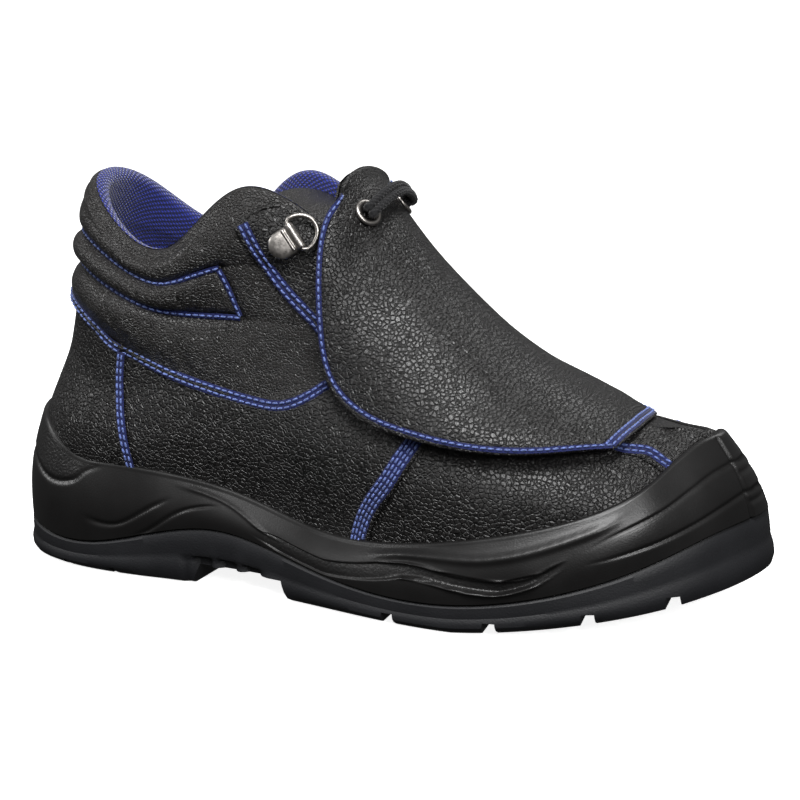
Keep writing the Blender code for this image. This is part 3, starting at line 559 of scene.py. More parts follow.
def makeLeather(name, settings):
    colour, rough, cell = settings["colour"], settings["rough"], settings["cell"]
    depth, strength = settings["depth"], settings["strength"]
    finish, tree, shader = makeMaterial(name, colour, rough, specular=settings["specular"])
    place = addNode(tree, "TexCoord").outputs["Object"]
    wobble = addNode(tree, "TexNoise", {"Vector": place, "Scale": 260.0, "Detail": 2.0})
    inputs = {0: wobble.outputs["Color"], 1: (cell * 0.45,) * 3, 2: place}
    moved = addNode(tree, "VectorMath", inputs, operation="MULTIPLY_ADD").outputs[0]
    pebble = addCells(tree, moved, 1 / cell, 0.85, 0.20)
    grain = addCells(tree, moved, 2.3 / cell, 1.0, 0.25)
    bump = addBump(tree, pebble, depth, strength)
    bump = addBump(tree, grain, depth * 0.3, strength * 0.35, bump)
    bump = addBump(tree, addNoise(tree, place, 2400.0, 3.0), 0.00005, 0.3, bump)
    # the colour darkens in the lines between the pebbles: painted shade in the grain's grooves, on both
    # leathers
    shade = addRamp(tree, pebble, 0.0, 0.8, darker(colour, 0.15), colour)
    broad = addRange(tree, addNoise(tree, place, 55.0, 4.0), 0.3, 0.7, rough - 0.06, rough + 0.08)
    finishShader(tree, shader, bump, shade, broad)
    return finish


def makeRubber(name, settings):
    colour, rough = settings["colour"], settings["rough"]
    finish, tree, shader = makeMaterial(name, colour, rough, specular=settings["specular"])
    place = addNode(tree, "TexCoord").outputs["Object"]
    bump = addBump(tree, addNoise(tree, place, settings["scale"], 3.0), settings["depth"], 0.6)
    broad = addNoise(tree, place, 45.0, 3.0)
    shade = addRamp(tree, broad, 0.3, 0.7, darker(colour, 0.8), colour)
    finishShader(tree, shader, bump, shade, addRange(tree, broad, 0.3, 0.7, rough - 0.05, rough + 0.07))
    return finish


def makeKnit(name, settings):
    finish, tree, shader = makeMaterial(name, settings["colour"], 0.75, specular=0.25)
    shader.inputs["Sheen Weight"].default_value = 0.3
    place = addNode(tree, "UVMap", uv_map="size").outputs["UV"]
    heights = []
    for turn in (settings["turn"], -settings["turn"]):
        inputs = {"Vector": place, "Rotation": (0, 0, math.radians(turn)), "Scale": (settings["scale"],) * 3}
        turned = addNode(tree, "Mapping", inputs).outputs["Vector"]
        inputs = {"Vector": turned, "Scale": 1.0, "Distortion": 0.6, "Detail": 1.0}
        heights.append(addNode(tree, "TexWave", inputs).outputs["Fac"])
    both = addNode(tree, "Math", {0: heights[0], 1: heights[1]}, operation="MULTIPLY").outputs[0]
    # the colour darkens where the weave lies low: painted shade in the knit's hollows
    shade = addRamp(tree, both, 0.05, 0.55, darker(settings["colour"], 0.18), settings["colour"])
    finishShader(tree, shader, addBump(tree, both, 0.0006, 0.8), shade)
    return finish


def makeFibre(name, settings):
    colour = settings["colour"]
    finish, tree, shader = makeMaterial(name, colour, settings["rough"], specular=0.2)
    shader.inputs["Sheen Weight"].default_value = 0.2
    fine = addNoise(tree, addNode(tree, "TexCoord").outputs["Object"], settings["scale"], 4.0)
    shade = addRamp(tree, fine, 0.35, 0.65, darker(colour, 0.30), colour)
    finishShader(tree, shader, addBump(tree, fine, 0.0003, 0.7), shade)
    return finish


def makeMetal(name, settings):
    rough = settings["rough"]
    finish, tree, shader = makeMaterial(name, settings["colour"], rough, metallic=1.0)
    fine = addNoise(tree, addNode(tree, "TexCoord").outputs["Object"], 900.0, 4.0)
    worn = addRange(tree, fine, 0.3, 0.7, rough - 0.06, rough + 0.12)
    finishShader(tree, shader, addBump(tree, fine, 0.00005, 0.3), rough=worn)
    return finish


# cell, depth and scale are the grain's size, its height and how fine the noise is
pebbledLeather = makeLeather("pebbledLeather", {
    "colour": (0.0088, 0.0081, 0.0080), "rough": 0.37, "specular": 0.45,
    "cell": 0.0017, "depth": 0.00036, "strength": 0.9,
})
softLeather = makeLeather("softLeather", {
    "colour": (0.0145, 0.0130, 0.0125), "rough": 0.36, "specular": 0.52,
    "cell": 0.0012, "depth": 0.00030, "strength": 0.9,
})
foamSkin = makeRubber("foamSkin", {
    "colour": (0.0065, 0.0062, 0.0062), "rough": 0.35, "specular": 0.36, "scale": 1500.0, "depth": 0.00008,
})
bandSkin = makeRubber("bandSkin", {
    "colour": (0.0075, 0.0072, 0.0072), "rough": 0.36, "specular": 0.45, "scale": 900.0, "depth": 0.00045,
})
treadRubber = makeRubber("treadRubber", {
    "colour": (0.0085, 0.0088, 0.0105), "rough": 0.55, "specular": 0.36, "scale": 1500.0, "depth": 0.00022,
})
# the knit's blue is its own colour, darkened further to paint the shade deep inside the boot
blueKnit = makeKnit("blueKnit", {"colour": (0.011, 0.023, 0.26), "scale": 215.0, "turn": 50})
insoleFelt = makeFibre("insoleFelt", {"colour": (0.03, 0.032, 0.045), "scale": 1400.0, "rough": 0.9})
laceYarn = makeFibre("laceYarn", {"colour": (0.0045, 0.0045, 0.0060), "scale": 1800.0, "rough": 0.7})
blueThread = makeFibre("blueThread", {"colour": (0.14, 0.20, 0.50), "scale": 1700.0, "rough": 0.40})
# a dark navy strip laid under the threads: painted shade in the seam grooves between the stitches
paintedSeamShade = makeFibre("paintedSeamShade", {"colour": (0.007, 0.013, 0.095), "scale": 2500.0, "rough": 0.7})
nickel = makeMetal("nickel", {"colour": (0.36, 0.34, 0.32), "rough": 0.32})
print("materials made")


# The upper's skins


# Creases drawn as (station, row) points, height (troughs below zero)
# and half width in metres
creasePlan = [
    ([(5.3, 7.4), (5.45, 8.3), (5.6, 9.4)], -0.0009, 0.0022),
    ([(5.75, 7.5), (5.85, 8.6), (6.0, 9.6)], -0.0007, 0.0020),
    ([(5.0, 8.0), (5.15, 8.9), (5.2, 9.8)], -0.0008, 0.0022),
    ([(6.15, 7.5), (6.3, 8.5), (6.5, 9.3)], -0.0006, 0.0020),
    ([(4.75, 7.5), (4.85, 9.0), (4.8, 10.6)], -0.0010, 0.0026),
    ([(5.5, 10.4), (5.6, 11.4), (5.75, 12.4)], -0.0007, 0.0020),
    ([(6.1, 10.3), (6.15, 11.4), (6.3, 12.5)], -0.0006, 0.0018),
    ([(5.25, 13.4), (5.35, 14.8), (5.5, 16.0)], -0.0008, 0.0024),
    ([(5.9, 13.4), (5.95, 14.6), (6.05, 15.8)], -0.0007, 0.0022),
    ([(6.5, 13.3), (6.55, 14.4), (6.6, 15.4)], -0.0006, 0.0020),
]


def gapTo(line, u, v):
    # distance to a line drawn in metres, and which of its points is nearest
    gap = np.hypot(u[:, None] - line[:, 0], v[:, None] - line[:, 1])
    return gap.min(-1), gap.argmin(-1)


def creaseLift(t, row, count=40, window=0.05):
    # how far the creases raise the leather on both sides of the boot
    lift = np.zeros(np.shape(t))
    up = row * rowSize
    for points, height, width in creasePlan:
        line = polyline(np.array(points) * (stationSize, rowSize), count)
        for across in (t * stationSize, (16 - t) * stationSize):
            near = (np.abs(across - line[:, 0].mean()) < window) & (np.abs(up - line[:, 1].mean()) < window)
            if near.any():
                gap, best = gapTo(line, across[near], up[near])
                fade = np.sin(np.pi * (best + 0.5) / count)
                lift[near] += height * fade * np.exp(-((gap / width) ** 2))
    return lift


# The rolls' seams: name, depth and width of the dip
rollSeams = (("rollUpper", 0.0019, 0.0022), ("rollEnd", 0.0013, 0.0018), ("rollLower", 0.0019, 0.0022))
leatherSeams = []
stitchRows = []  # (line, normals) of every row of thread
for mirrored in (False, True):
    for name, depth, width in rollSeams:
        stitchRows.append(skinCurve(name, mirrored))
        leatherSeams.append((stitchRows[-1][0], depth, width))


def leatherPoints(t, rows, padded):
    places, levels = np.meshgrid(t, rows)
    points = skinAt(places, levels, padShape(places, levels) if padded else 0.0)
    normals = skinNormal(places, levels)
    points = points - normals * seamDip(points, leatherSeams)[..., None]
    return points + normals * creaseLift(places, levels)[..., None]


vampPlan = {"side": 4.15, "low": 1.0, "rim": 3, "columns": 300, "rows": 100}
vampT = np.linspace(-vampPlan["side"], vampPlan["side"], countFor(vampPlan["columns"]))
vampRows = np.concatenate([
    np.linspace(vampPlan["low"], vampPlan["rim"], 8),
    np.linspace(vampPlan["rim"], 17, countFor(vampPlan["rows"]))[1:],
])
vampSkin = gridMesh("vampSkin", leatherPoints(vampT, vampRows, False), pebbledLeather)
finishPiece(vampSkin, "upper_leather")
print("vamp skin made")


def crestPoints(t, angles):
    # the rolled top edge between the outer and the inner face
    outer, inner = skinAt(t, 17.0), innerAt(t, 17.0)
    middle, half = (outer + inner) / 2, (outer - inner) / 2
    gap = np.linalg.norm(half, axis=-1) * 2
    lift = gap * 0.42 * np.clip(padding(t), 0.12, 1)
    rings = []
    for angle in angles:
        ring = middle + half * math.cos(angle)
        ring = ring + np.array([0, 0, 1.0]) * (lift * math.sin(angle))[:, None]
        rings.append(ring)
    return np.array(rings)


collarPlan = {"front": 3.72, "low": 5.5, "edge": 95, "columns": 460, "rows": 110}
collarT = np.linspace(collarPlan["front"], 16 - collarPlan["front"], countFor(collarPlan["columns"]))
collarRows = np.linspace(collarPlan["low"], 17, countFor(collarPlan["rows"]))
collarGrid = np.concatenate([
    leatherPoints(collarT, collarRows, True),
    crestPoints(collarT, np.linspace(0, math.radians(collarPlan["edge"]), 10)[1:]),
])
collarSkin = gridMesh("collarSkin", collarGrid, softLeather)
finishPiece(collarSkin, "collar_leather", "upper")
print("collar skin made")

# The knitted lining: it starts under the collar's edge and lies lower at the toe
liningPlan = {"low": 0.2, "edge": 80, "under": 0.0003, "columns": 360, "rows": 80, "toe": 0.0035}
liningT = roundStations(countFor(liningPlan["columns"]))
liningRows = np.linspace(17, liningPlan["low"], countFor(liningPlan["rows"]))
places, levels = np.meshgrid(liningT, liningRows)
crest = crestPoints(liningT, np.linspace(math.radians(liningPlan["edge"]), math.pi, 9)[:-1])
crest = crest + np.array([0, 0, liningPlan["under"]])
openShare = np.clip((sideStation(liningT) - 3.0) / 0.3, 0, 1)[None, :, None]
crest = crest * openShare + innerAt(liningT, 17.0)[None] * (1 - openShare)
liningGrid = np.concatenate([crest, innerAt(places, levels)])
toeShare = np.clip((3.4 - sideStation(liningT)) / 0.6, 0, 1)
rowLevels = np.concatenate([np.full(len(crest), 17.0), liningRows]) / 17
liningGrid[..., 2] -= liningPlan["toe"] * toeShare * np.clip(rowLevels[:, None] * 2 - 0.6, 0, 1)
lining = gridMesh("lining", liningGrid, blueKnit, closed=True)
finishPiece(lining, None)
print("lining made")


# Leather panels over the skins


def bunched(count):
    # shares from 0 to 1 that crowd near both ends
    s = np.linspace(0, 1, count)
    return s - 0.80 * np.sin(2 * np.pi * s) / (2 * np.pi)


def coonsPatch(plan, count=400):
    # stations and rows of a panel, blended between its four edges
    a, b = bunched(countFor(plan["columns"])), bunched(countFor(plan["rows"]))
    grid = np.linspace(0, 1, count)

    def along(key, share):
        edge = polyline(np.array(plan[key]) * curveScale, count) / curveScale
        return readAlong(edge, grid, share)

    low, high, front, rear = along("low", a), along("high", a), along("front", b), along("rear", b)
    aa, bb = a[None, :, None], b[:, None, None]
    blend = (1 - bb) * low[None] + bb * high[None] + (1 - aa) * front[:, None] + aa * rear[:, None]
    corners = (
        (1 - aa) * (1 - bb) * low[0] + aa * (1 - bb) * low[-1]
        + (1 - aa) * bb * high[0] + aa * bb * high[-1]
    )
    return blend - corners


def endPanel(plan):
    # stations and rows of a panel round the toe or the heel, side to side
    share = bunched(countFor(plan["rows"]))
    edge = np.interp(share, [row[1] for row in plan["edge"]], [row[0] for row in plan["edge"]])
    across = bunched(countFor(plan["columns"]))[None] * 2 - 1
    t = plan["middle"] + np.abs(plan["middle"] - edge[:, None]) * across
    top = np.interp(sideStation(t), [row[0] for row in plan["top"]], [row[1] for row in plan["top"]])
    return np.stack([t, plan["low"] + (top - plan["low"]) * share[:, None]], -1)


def borderDistance(points):
    border = np.concatenate([points[0], points[:, -1], points[-1][::-1], points[:, 0][::-1]])
    return nearestGap(points.reshape(-1, 3), border).reshape(points.shape[:-1])


# The cut edges of the panels and the dips of their seams
edgePlan = {"round": 0.0014, "sunk": 0.0003, "dip": 0.00035, "dipWidth": 0.0010}


def panelPiece(name, places, plan, panelSeams, flip=False):
    t, row = places[..., 0], places[..., 1]
    flat = skinAt(t, row)
    normals = skinNormal(t, row)
    edge = np.clip(borderDistance(flat) / edgePlan["round"], 0, 1)
    lift = plan["lift"] + plan["thick"] * np.sqrt(1 - (1 - edge) ** 2) - edgePlan["sunk"] * (1 - edge)
    points = flat + normals * (lift + creaseLift(t, row))[..., None]
    points = points - normals * seamDip(points, panelSeams)[..., None]
    return gridMesh(name, points, pebbledLeather, flip=flip)


def seamOn(name, plan, offset, mirrored):
    # a row of thread on a panel, moved sideways over the surface by its offset
    line, normals = skinCurve(name, mirrored, plan["lift"] + plan["thick"])
    along = unit(np.gradient(line, axis=0))
    line = line + unit(np.cross(normals, along)) * (offset * (-1 if mirrored else 1))
    stitchRows.append((line, normals))
    return line, edgePlan["dip"], edgePlan["dipWidth"]


def sidePanel(key, mirrored):
    plan = panelPlan[key]
    seams = [seamOn(name, plan, offset, mirrored) for name, offsets in plan["seams"] for offset in offsets]
    if "pressed" in plan:
        seams.append((skinCurve("facingTop", mirrored, plan["thick"])[0], plan["pressed"], plan["pressed"]))
    places = coonsPatch(plan)
    if mirrored:
        places = np.array([16.0, 0.0]) + np.array([-1.0, 1.0]) * places
    name = key + ("Inner" if mirrored else "Outer")
    return panelPiece(name, places, plan, seams, mirrored == (key == "quarter"))


for mirrored, side in ((False, "outer"), (True, "inner")):
    finishPiece(sidePanel("quarter", mirrored), "upper_leather")
    finishPiece(sidePanel("facing", mirrored), "upper_leather", "facing_" + side)
counterSeams, toeSeams = [], []
for mirrored in (False, True):
    for offset in counterPlan["seamRows"]:
        counterSeams.append(seamOn("counter", counterPlan, -offset, mirrored))
        topOffset = counterPlan["topSeam"] + offset * counterPlan["topSpread"]
        counterSeams.append(seamOn("counterTop", counterPlan, topOffset, mirrored))
counter = panelPiece("counterPanel", endPanel(counterPlan), counterPlan, counterSeams)
finishPiece(counter, "upper_leather", "counter")
for mirrored in (False, True):
    for offset in toePlan["seamRows"]:
        toeSeams.append(seamOn("toeSideInner" if mirrored else "toeSide", toePlan, offset, mirrored))
toePanel = panelPiece("toePanel", endPanel(toePlan), toePlan, toeSeams)
finishPiece(toePanel, "upper_leather")
print("panels made")


# The moulded midsole

midsolePlan = {
    "columns": 720, "rows": 84, "belly": 0.0024, "bottom": 0.0006, "rim": 0.0016, "lap": 0.0002,
    "climb": 1.0, "climbFrom": 6.15, "climbOver": 1.1, "inside": 0.0004, "seat": 0.001,
}


def rimRow(t):
    # the rim climbs into a bumper behind the heel
    over = smoothStep((sideStation(t) - midsolePlan["climbFrom"]) / midsolePlan["climbOver"])
    return 3.0 + midsolePlan["climb"] * over


def lipAt(t):
    h = shareAt(t, rimRow(t))
    return wallAt(t, h) + normalAt(t, h) * shoe["lip"]


# Ribs and scores of the midsole's side: (station, share) points from
# the sole line (0) to the rim (1), height (below zero for a score), half width
midsoleLines = [
    ([(-0.4, 0.70), (0.41, 0.68), (1.01, 0.645), (1.48, 0.63), (1.87, 0.66), (2.1, 0.60)], -0.0008, 0.0009),
    ([(-0.4, 0.34), (0.30, 0.32), (0.94, 0.25), (1.39, 0.25), (1.73, 0.30), (2.11, 0.38)], -0.0008, 0.0009),
    ([(6.10, 0.34), (6.01, 0.29), (5.79, 0.23), (5.61, 0.34), (5.49, 0.47), (5.34, 0.65)], -0.0008, 0.0011),
    ([(5.62, 0.02), (5.47, 0.08), (5.26, 0.36), (5.09, 0.53), (4.92, 0.67)], -0.0008, 0.0011),
    (
        [(6.05, 1.00), (6.21, 0.91), (6.30, 0.79), (6.48, 0.68), (6.74, 0.62), (7.2, 0.64), (8.0, 0.66)],
        -0.0010, 0.0010,
    ),
    ([(5.30, 0.93), (4.96, 0.86), (4.71, 0.73), (4.47, 0.50), (4.30, 0.42)], 0.0007, 0.0016),
    (
        [(3.60, 0.80), (3.36, 0.90), (3.06, 0.84), (2.80, 0.76), (2.50, 0.77), (2.2, 0.82), (1.8, 0.85)],
        0.0012, 0.0024,
    ),
    (
        [(3.46, 0.72), (3.24, 0.72), (3.05, 0.58), (2.84, 0.44), (2.61, 0.35), (2.43, 0.40), (2.28, 0.56)],
        0.0010, 0.0008,
    ),
    (
        [(3.40, 0.42), (3.24, 0.46), (3.04, 0.35), (2.85, 0.21), (2.68, 0.15), (2.49, 0.21), (2.30, 0.44)],
        0.0013, 0.0009,
    ),
]
# The hollow band of the waist and ball: station, lower share, upper share
bandRows = [
    (2.26, 0.50, 0.52), (2.43, 0.28, 0.38), (2.68, 0.19, 0.34), (3.04, 0.38, 0.56), (3.30, 0.50, 0.70),
    (3.52, 0.34, 0.66), (3.90, 0.08, 0.44), (4.30, 0.10, 0.50), (4.60, 0.28, 0.46),
]
bandPlan = {"depth": 0.0017, "shoulder": 0.05, "calm": 0.55, "calmFrom": 3.3, "coarse": 0.55}
# The raised strip of three blocks up the toe
stripPlan = {
    "side": 0.30, "lean": 0.04, "height": 0.0006, "cuts": (0.20, 0.56), "cut": 0.035, "groove": 0.0007,
}
# Where the coarse skin of the heel bumper starts: station, share
bumperRows = [(6.05, 1.02), (6.21, 0.93), (6.30, 0.81), (6.48, 0.70), (6.74, 0.64), (7.0, 0.66)]


def bandAt(side, share):
    marks = [row[0] for row in bandRows]
    low, high = (np.interp(side, marks, [row[k] for row in bandRows]) for k in (1, 2))
    edge = bandPlan["shoulder"]
    inside = smoothStep((share - low + edge) / edge) * smoothStep((high + edge - share) / edge)
    return inside * smoothStep((side - marks[0]) / 0.15) * smoothStep((marks[-1] - side) / 0.3)


def stripAt(side, share):
    edge = stripPlan["side"] - stripPlan["lean"] * share
    block = smoothStep((edge - side) / 0.035)
    for cut in stripPlan["cuts"]:
        block = block * (1 - np.exp(-(((share - cut) / stripPlan["cut"]) ** 2)) * 0.8)
    groove = np.exp(-(((side - edge - 0.035) / 0.02) ** 2))
    raised = stripPlan["height"] * block - stripPlan["groove"] * groove
    return raised * smoothStep((1.02 - share) / 0.05)


def reliefAt(t, share, count=60, window=1.6):
    # ribs, scores and hollows of the midsole's side, positive outward
    side = sideStation(t)
    calm = 1 - bandPlan["calm"] * smoothStep((side - bandPlan["calmFrom"]) / 0.4)
    out = -bandPlan["depth"] * bandAt(side, share) * calm
    for points, height, width in midsoleLines:
        near = np.abs(side - np.array(points)[:, 0].mean()) < window
        if near.any():
            line = polyline(np.array(points) * (stationSize, shareSize), count)
            gap, best = gapTo(line, side[near] * stationSize, share[near] * shareSize)
            fade = np.clip(np.minimum(best, count - 1 - best) / 10 + 0.1, 0, 1)
            out[near] += height * fade * np.exp(-((gap / width) ** 2))
    return out + stripAt(side, share)


def sidePoints(t, share):
    low = splitLine(t) * shoe["sole"] + midsolePlan["bottom"]
    base, outward = outlineAt(t, tuck(t))
    base = np.concatenate([base, low[..., None]], -1)
    out = np.sin(np.pi * share) * midsolePlan["belly"] + reliefAt(t, share)
    place = base + (lipAt(t) - base) * share[..., None]
    place[..., :2] += outward * out[..., None]
    return place


def flatRing(t, out, z):
    return np.concatenate([outlineAt(t, out)[0], z[..., None]], -1)


midT = roundStations(countFor(midsolePlan["columns"]))
shares = np.linspace(0, 1, countFor(midsolePlan["rows"]))
places, levels = np.meshgrid(midT, shares)
sideGrid = np.concatenate([sidePoints(places[k:k + 6], levels[k:k + 6]) for k in range(0, len(shares), 6)])
# the rim rolls over from the lip to the leather and dips inside
rimShares = shareAt(midT, rimRow(midT))
wall, wallOut = wallAt(midT, rimShares), normalAt(midT, rimShares)
upward = unit(wallAt(midT, rimShares + 0.01) - wallAt(midT, rimShares - 0.01))
rimRings = []
for angle in np.linspace(0.25, math.pi, 9):
    reach = shoe["lip"] * (0.5 + 0.5 * math.cos(angle)) - midsolePlan["lap"]
    rimRings.append(wall + wallOut * reach + upward * midsolePlan["rim"] * math.sin(angle))
for row in (2.0, 1.0, 0.0):
    h = shareAt(midT, row)
    rimRings.append(wallAt(midT, h) + normalAt(midT, h) * midsolePlan["inside"])
seat = np.minimum(splitLine(midT), featherLine(midT) - 0.15) * shoe["sole"] + midsolePlan["seat"]
under = [
    flatRing(midT, tuck(midT) - 0.006, seat),
    flatRing(midT, tuck(midT) - 0.0035, splitLine(midT) * shoe["sole"] + midsolePlan["seat"]),
]
midsoleGrid = np.concatenate([np.array(under), sideGrid, np.array(rimRings)]) + shift
midsoleBody = gridMesh("midsoleBody", midsoleGrid, foamSkin, closed=True)
# a coarser skin in the hollow band and on the heel bumper
midsoleBody.data.materials.append(bandSkin)
side, share = sideStation(places[:-1]), levels[:-1]
bumperLow = np.interp(side, [row[0] for row in bumperRows], [row[1] for row in bumperRows])
rough = (bandAt(side, share) > bandPlan["coarse"]) | ((share > bumperLow) & (side > bumperRows[0][0]))
coarse = np.zeros(len(midsoleBody.data.polygons), int)
first = len(under) * len(midT)
coarse[first:first + rough.size] = rough.ravel()
midsoleBody.data.polygons.foreach_set("material_index", coarse)
finishPiece(midsoleBody, "midsole_foam", "midsole")
print("midsole made")


# The outsole with its lugs

outsolePlan = {
    "columns": 640, "inset": 0.0040, "round": 0.0016, "taper": 0.55,
    # the heel notches and forefoot grooves: share of the length and turn in degrees
    "grooves": ((0.588, -4), (0.717, -8), (0.834, -10), (0.929, -8)), "groove": (0.0082, 0.0050),
    "notches": ((0.100, 14), (0.180, 6)), "notch": (0.0042, 0.0029),
    # the arch: share of the length, its length, height and taper
    "arch": {"at": 0.37, "long": 0.17, "high": 0.0085, "tall": 0.0185, "taper": 0.74},
}
# The ladder ribs under the arch, in stations and metres
ladderPlan = {"front": 4.40, "back": 5.22, "pitch": 0.23, "depth": 0.0034, "rib": 0.0024, "top": 0.52}
# The side of the outsole: share up, how far it stands out
sideRows = (
    (0.0, -0.0010), (0.15, 0.0003), (0.30, 0.0005), (0.38, 0.0003), (0.44, 0.0001), (0.50, -0.0002),
    (0.56, -0.0001), (0.75, 0.0), (0.92, 0.0), (1.0, -0.0008),
)


def treadHeight(t):
    return np.maximum(treadLine(t), 0.0) * shoe["sole"]


outT = roundStations(countFor(outsolePlan["columns"]))
tread, split = treadHeight(outT), splitLine(outT) * shoe["sole"]
side = sideStation(outT)
ladder = smoothStep((side - ladderPlan["front"]) / 0.1) * smoothStep((ladderPlan["back"] - side) / 0.06)
wave = np.maximum(np.sin(2 * np.pi * (side - ladderPlan["front"]) / ladderPlan["pitch"]), 0) ** 0.7
ladder = ladder * (ladderPlan["depth"] - ladderPlan["rib"] * wave)
rings = [flatRing(outT, -outsolePlan["inset"] - ladder, tread)]
low = tread + outsolePlan["round"]
for share, out in sideRows:
    hollow = ladder * smoothStep((ladderPlan["top"] - share) / 0.10)
    rings.append(flatRing(outT, out - hollow + tuck(outT) * share, low + (split - low) * share))
seat = np.minimum(splitLine(outT), featherLine(outT) - 0.15) * shoe["sole"]
rings += [flatRing(outT, tuck(outT) - 0.0025, split), flatRing(outT, tuck(outT) - 0.0050, seat)]
outsole = gridMesh("outsoleBody", np.array(rings) + shift, treadRubber, closed=True)


def capRing(piece, columns, ring):
    # close a ring from side to side, as the outline is mirrored about its ends
    shape = bmesh.new()
    shape.from_mesh(piece.data)
    shape.verts.ensure_lookup_table()
    start = ring * columns
    for c in range(columns // 2):
        wanted = dict.fromkeys(start + i for i in (c, c + 1, (-c - 1) % columns, -c % columns))
        shape.faces.new([shape.verts[i] for i in wanted])
    bmesh.ops.recalc_face_normals(shape, faces=shape.faces)
    if shape.calc_volume(signed=True) < 0:
        bmesh.ops.reverse_faces(shape, faces=shape.faces)
    shape.to_mesh(piece.data)
    shape.free()


capRing(outsole, len(outT), 0)
capRing(outsole, len(outT), len(rings) - 1)


def treadLift(share):
    low, high = 0.0, 4.0
    for _ in range(30):
        middle = (low + high) / 2
        past = float(outlineX(middle)) < share * shoe["length"]
        low, high = (low, middle) if past else (middle, high)
    return float(treadHeight(low))


def addCutter(group, middle, size, turn, taper):
    bmesh.ops.create_cube(group, size=1.0)
    group.verts.ensure_lookup_table()
    place = Matrix.Translation(Vector(middle) + Vector(shift)) @ Matrix.Rotation(turn, 4, "Z")
    for vertex in group.verts[-8:]:
        if vertex.co.z > 0:
            vertex.co.x *= taper
        vertex.co = place @ Vector([vertex.co[k] * size[k] for k in range(3)])


cutters = bmesh.new()
arch = outsolePlan["arch"]
addCutter(
    cutters, (arch["at"] * shoe["length"], 0, arch["high"] - arch["tall"] / 2),
    (arch["long"] * shoe["length"], shoe["ball"] * 1.4, arch["tall"]), 0.0, arch["taper"],
)
for places, sizes in (("grooves", "groove"), ("notches", "notch")):
    width, depth = outsolePlan[sizes]
    tall = depth + 0.010
    reach = shoe["ball"] * 0.36
    for share, turn in outsolePlan[places]:
        for hand in (-1, 1):
            centre = hand * (shoe["ball"] * 0.06 + reach)
            addCutter(
                cutters, (share * shoe["length"], centre, depth + treadLift(share) - tall / 2),
                (width, reach * 2, tall), math.radians(turn * hand), outsolePlan["taper"],
            )
cutterMesh = bpy.data.meshes.new("treadCutters")
cutters.to_mesh(cutterMesh)
cutters.free()
cutter = addObject("treadCutters", cutterMesh)

cut = outsole.modifiers.new("tread", "BOOLEAN")
cut.operation = "DIFFERENCE"
cut.object = cutter
cut.solver = "EXACT"
graph = bpy.context.evaluated_depsgraph_get()
cutOutsole = bpy.data.meshes.new_from_object(outsole.evaluated_get(graph))
outsole.modifiers.clear()
outsole.data = cutOutsole
bpy.data.objects.remove(cutter)
outsole.data.shade_smooth()
outsole.data.set_sharp_from_angle(angle=math.radians(32))
finishPiece(outsole, "outsole_rubber", "outsole")
print("outsole made")


# Insole and tongue

# The insole's rings: inset from the foot line and height over it
insoleRings = (
    (0.0055, 0.0), (0.0050, 0.0026), (0.0054, 0.0040), (0.0066, 0.0046), (0.012, 0.0047), (0.022, 0.0046),
)
insoleT = roundStations(256)
rings = []
for inset, lift in insoleRings:
    foot = wallAt(insoleT, np.zeros(len(insoleT)))
    foot[:, :2] -= outlineAt(insoleT)[1] * inset
    foot[:, 2] = featherLine(insoleT) * shoe["sole"] + lift
    rings.append(foot)
insole = gridMesh("insoleBed", np.array(rings) + shift, insoleFelt, closed=True)
capRing(insole, len(insoleT), len(rings) - 1)
finishPiece(insole, "insole_felt", "insole")

tonguePlan = {
    "front": 3.25, "back": 5.0, "step": 0.25, "gap": 0.0010, "least": 0.002, "tip": 0.007, "tipWidth": 0.85,
    "crown": 0.08, "thick": 0.0050, "pillow": 0.0005, "pillows": 9, "sink": (0.0010, 0.0032),
    "columns": 61, "rows": 90,
}


def throatFrame(t):
    def place(at):
        return np.array([float(topX(at)) * shoe["length"], 0.0, float(topLine(at)) * shoe["shaft"]])
    here = place(t)
    up = unit(place(t + 0.05) - here)
    return here, up, np.array([up[2], 0.0, -up[0]])


tongueControl = []
for t in np.arange(tonguePlan["front"], tonguePlan["back"], tonguePlan["step"]):
    here, up, out = throatFrame(t)
    edges = [abs(innerAt(np.array(a), np.array(17.0))[1] - shift[1]) for a in (t, 16 - t)]
    half = min(edges) - tonguePlan["gap"]
    if half > tonguePlan["least"]:
        tongueControl.append((*here, half, *out))
tip = np.array(tongueControl[-1])
tip[:3] += up * tonguePlan["tip"]
tip[3] *= tonguePlan["tipWidth"]
tongueControl.append(tuple(tip))
rowCount = tonguePlan["rows"]
tongueRows = naturalSpline(np.array(tongueControl))(np.linspace(0, len(tongueControl) - 1, rowCount))
half = tongueRows[:, 3:4]
across = np.linspace(-1, 1, tonguePlan["columns"])
waves = np.sin(np.linspace(0, tonguePlan["pillows"] * np.pi, rowCount))[:, None]
low, deep = tonguePlan["sink"]
sink = low + deep * smoothStep(np.linspace(-0.4, 1.0, rowCount))[:, None]
layers = []
for layer in (0, 1):
    crown = half * tonguePlan["crown"] * (1 - across**2)
    pillow = tonguePlan["pillow"] * waves * (1 - across**2)
    depth = -tonguePlan["thick"] * layer * (1 - 0.55 * np.abs(across)) * np.sqrt(np.maximum(1 - across**6, 0))
    lift = (crown + depth + pillow * (1 - layer) - sink)[..., None]
    middle = tongueRows[:, None, :3] + np.array([0, 1.0, 0]) * (half * across)[..., None]
    layers.append(middle + tongueRows[:, None, 4:] * lift + shift)
tongueGrid = np.concatenate([layers[0], layers[1][:, ::-1]], 1)
tongue = gridMesh("tonguePad", tongueGrid, softLeather, closed=True, flip=True)
finishPiece(tongue, "collar_leather", "tongue")
print("insole and tongue made")


# The metatarsal flap

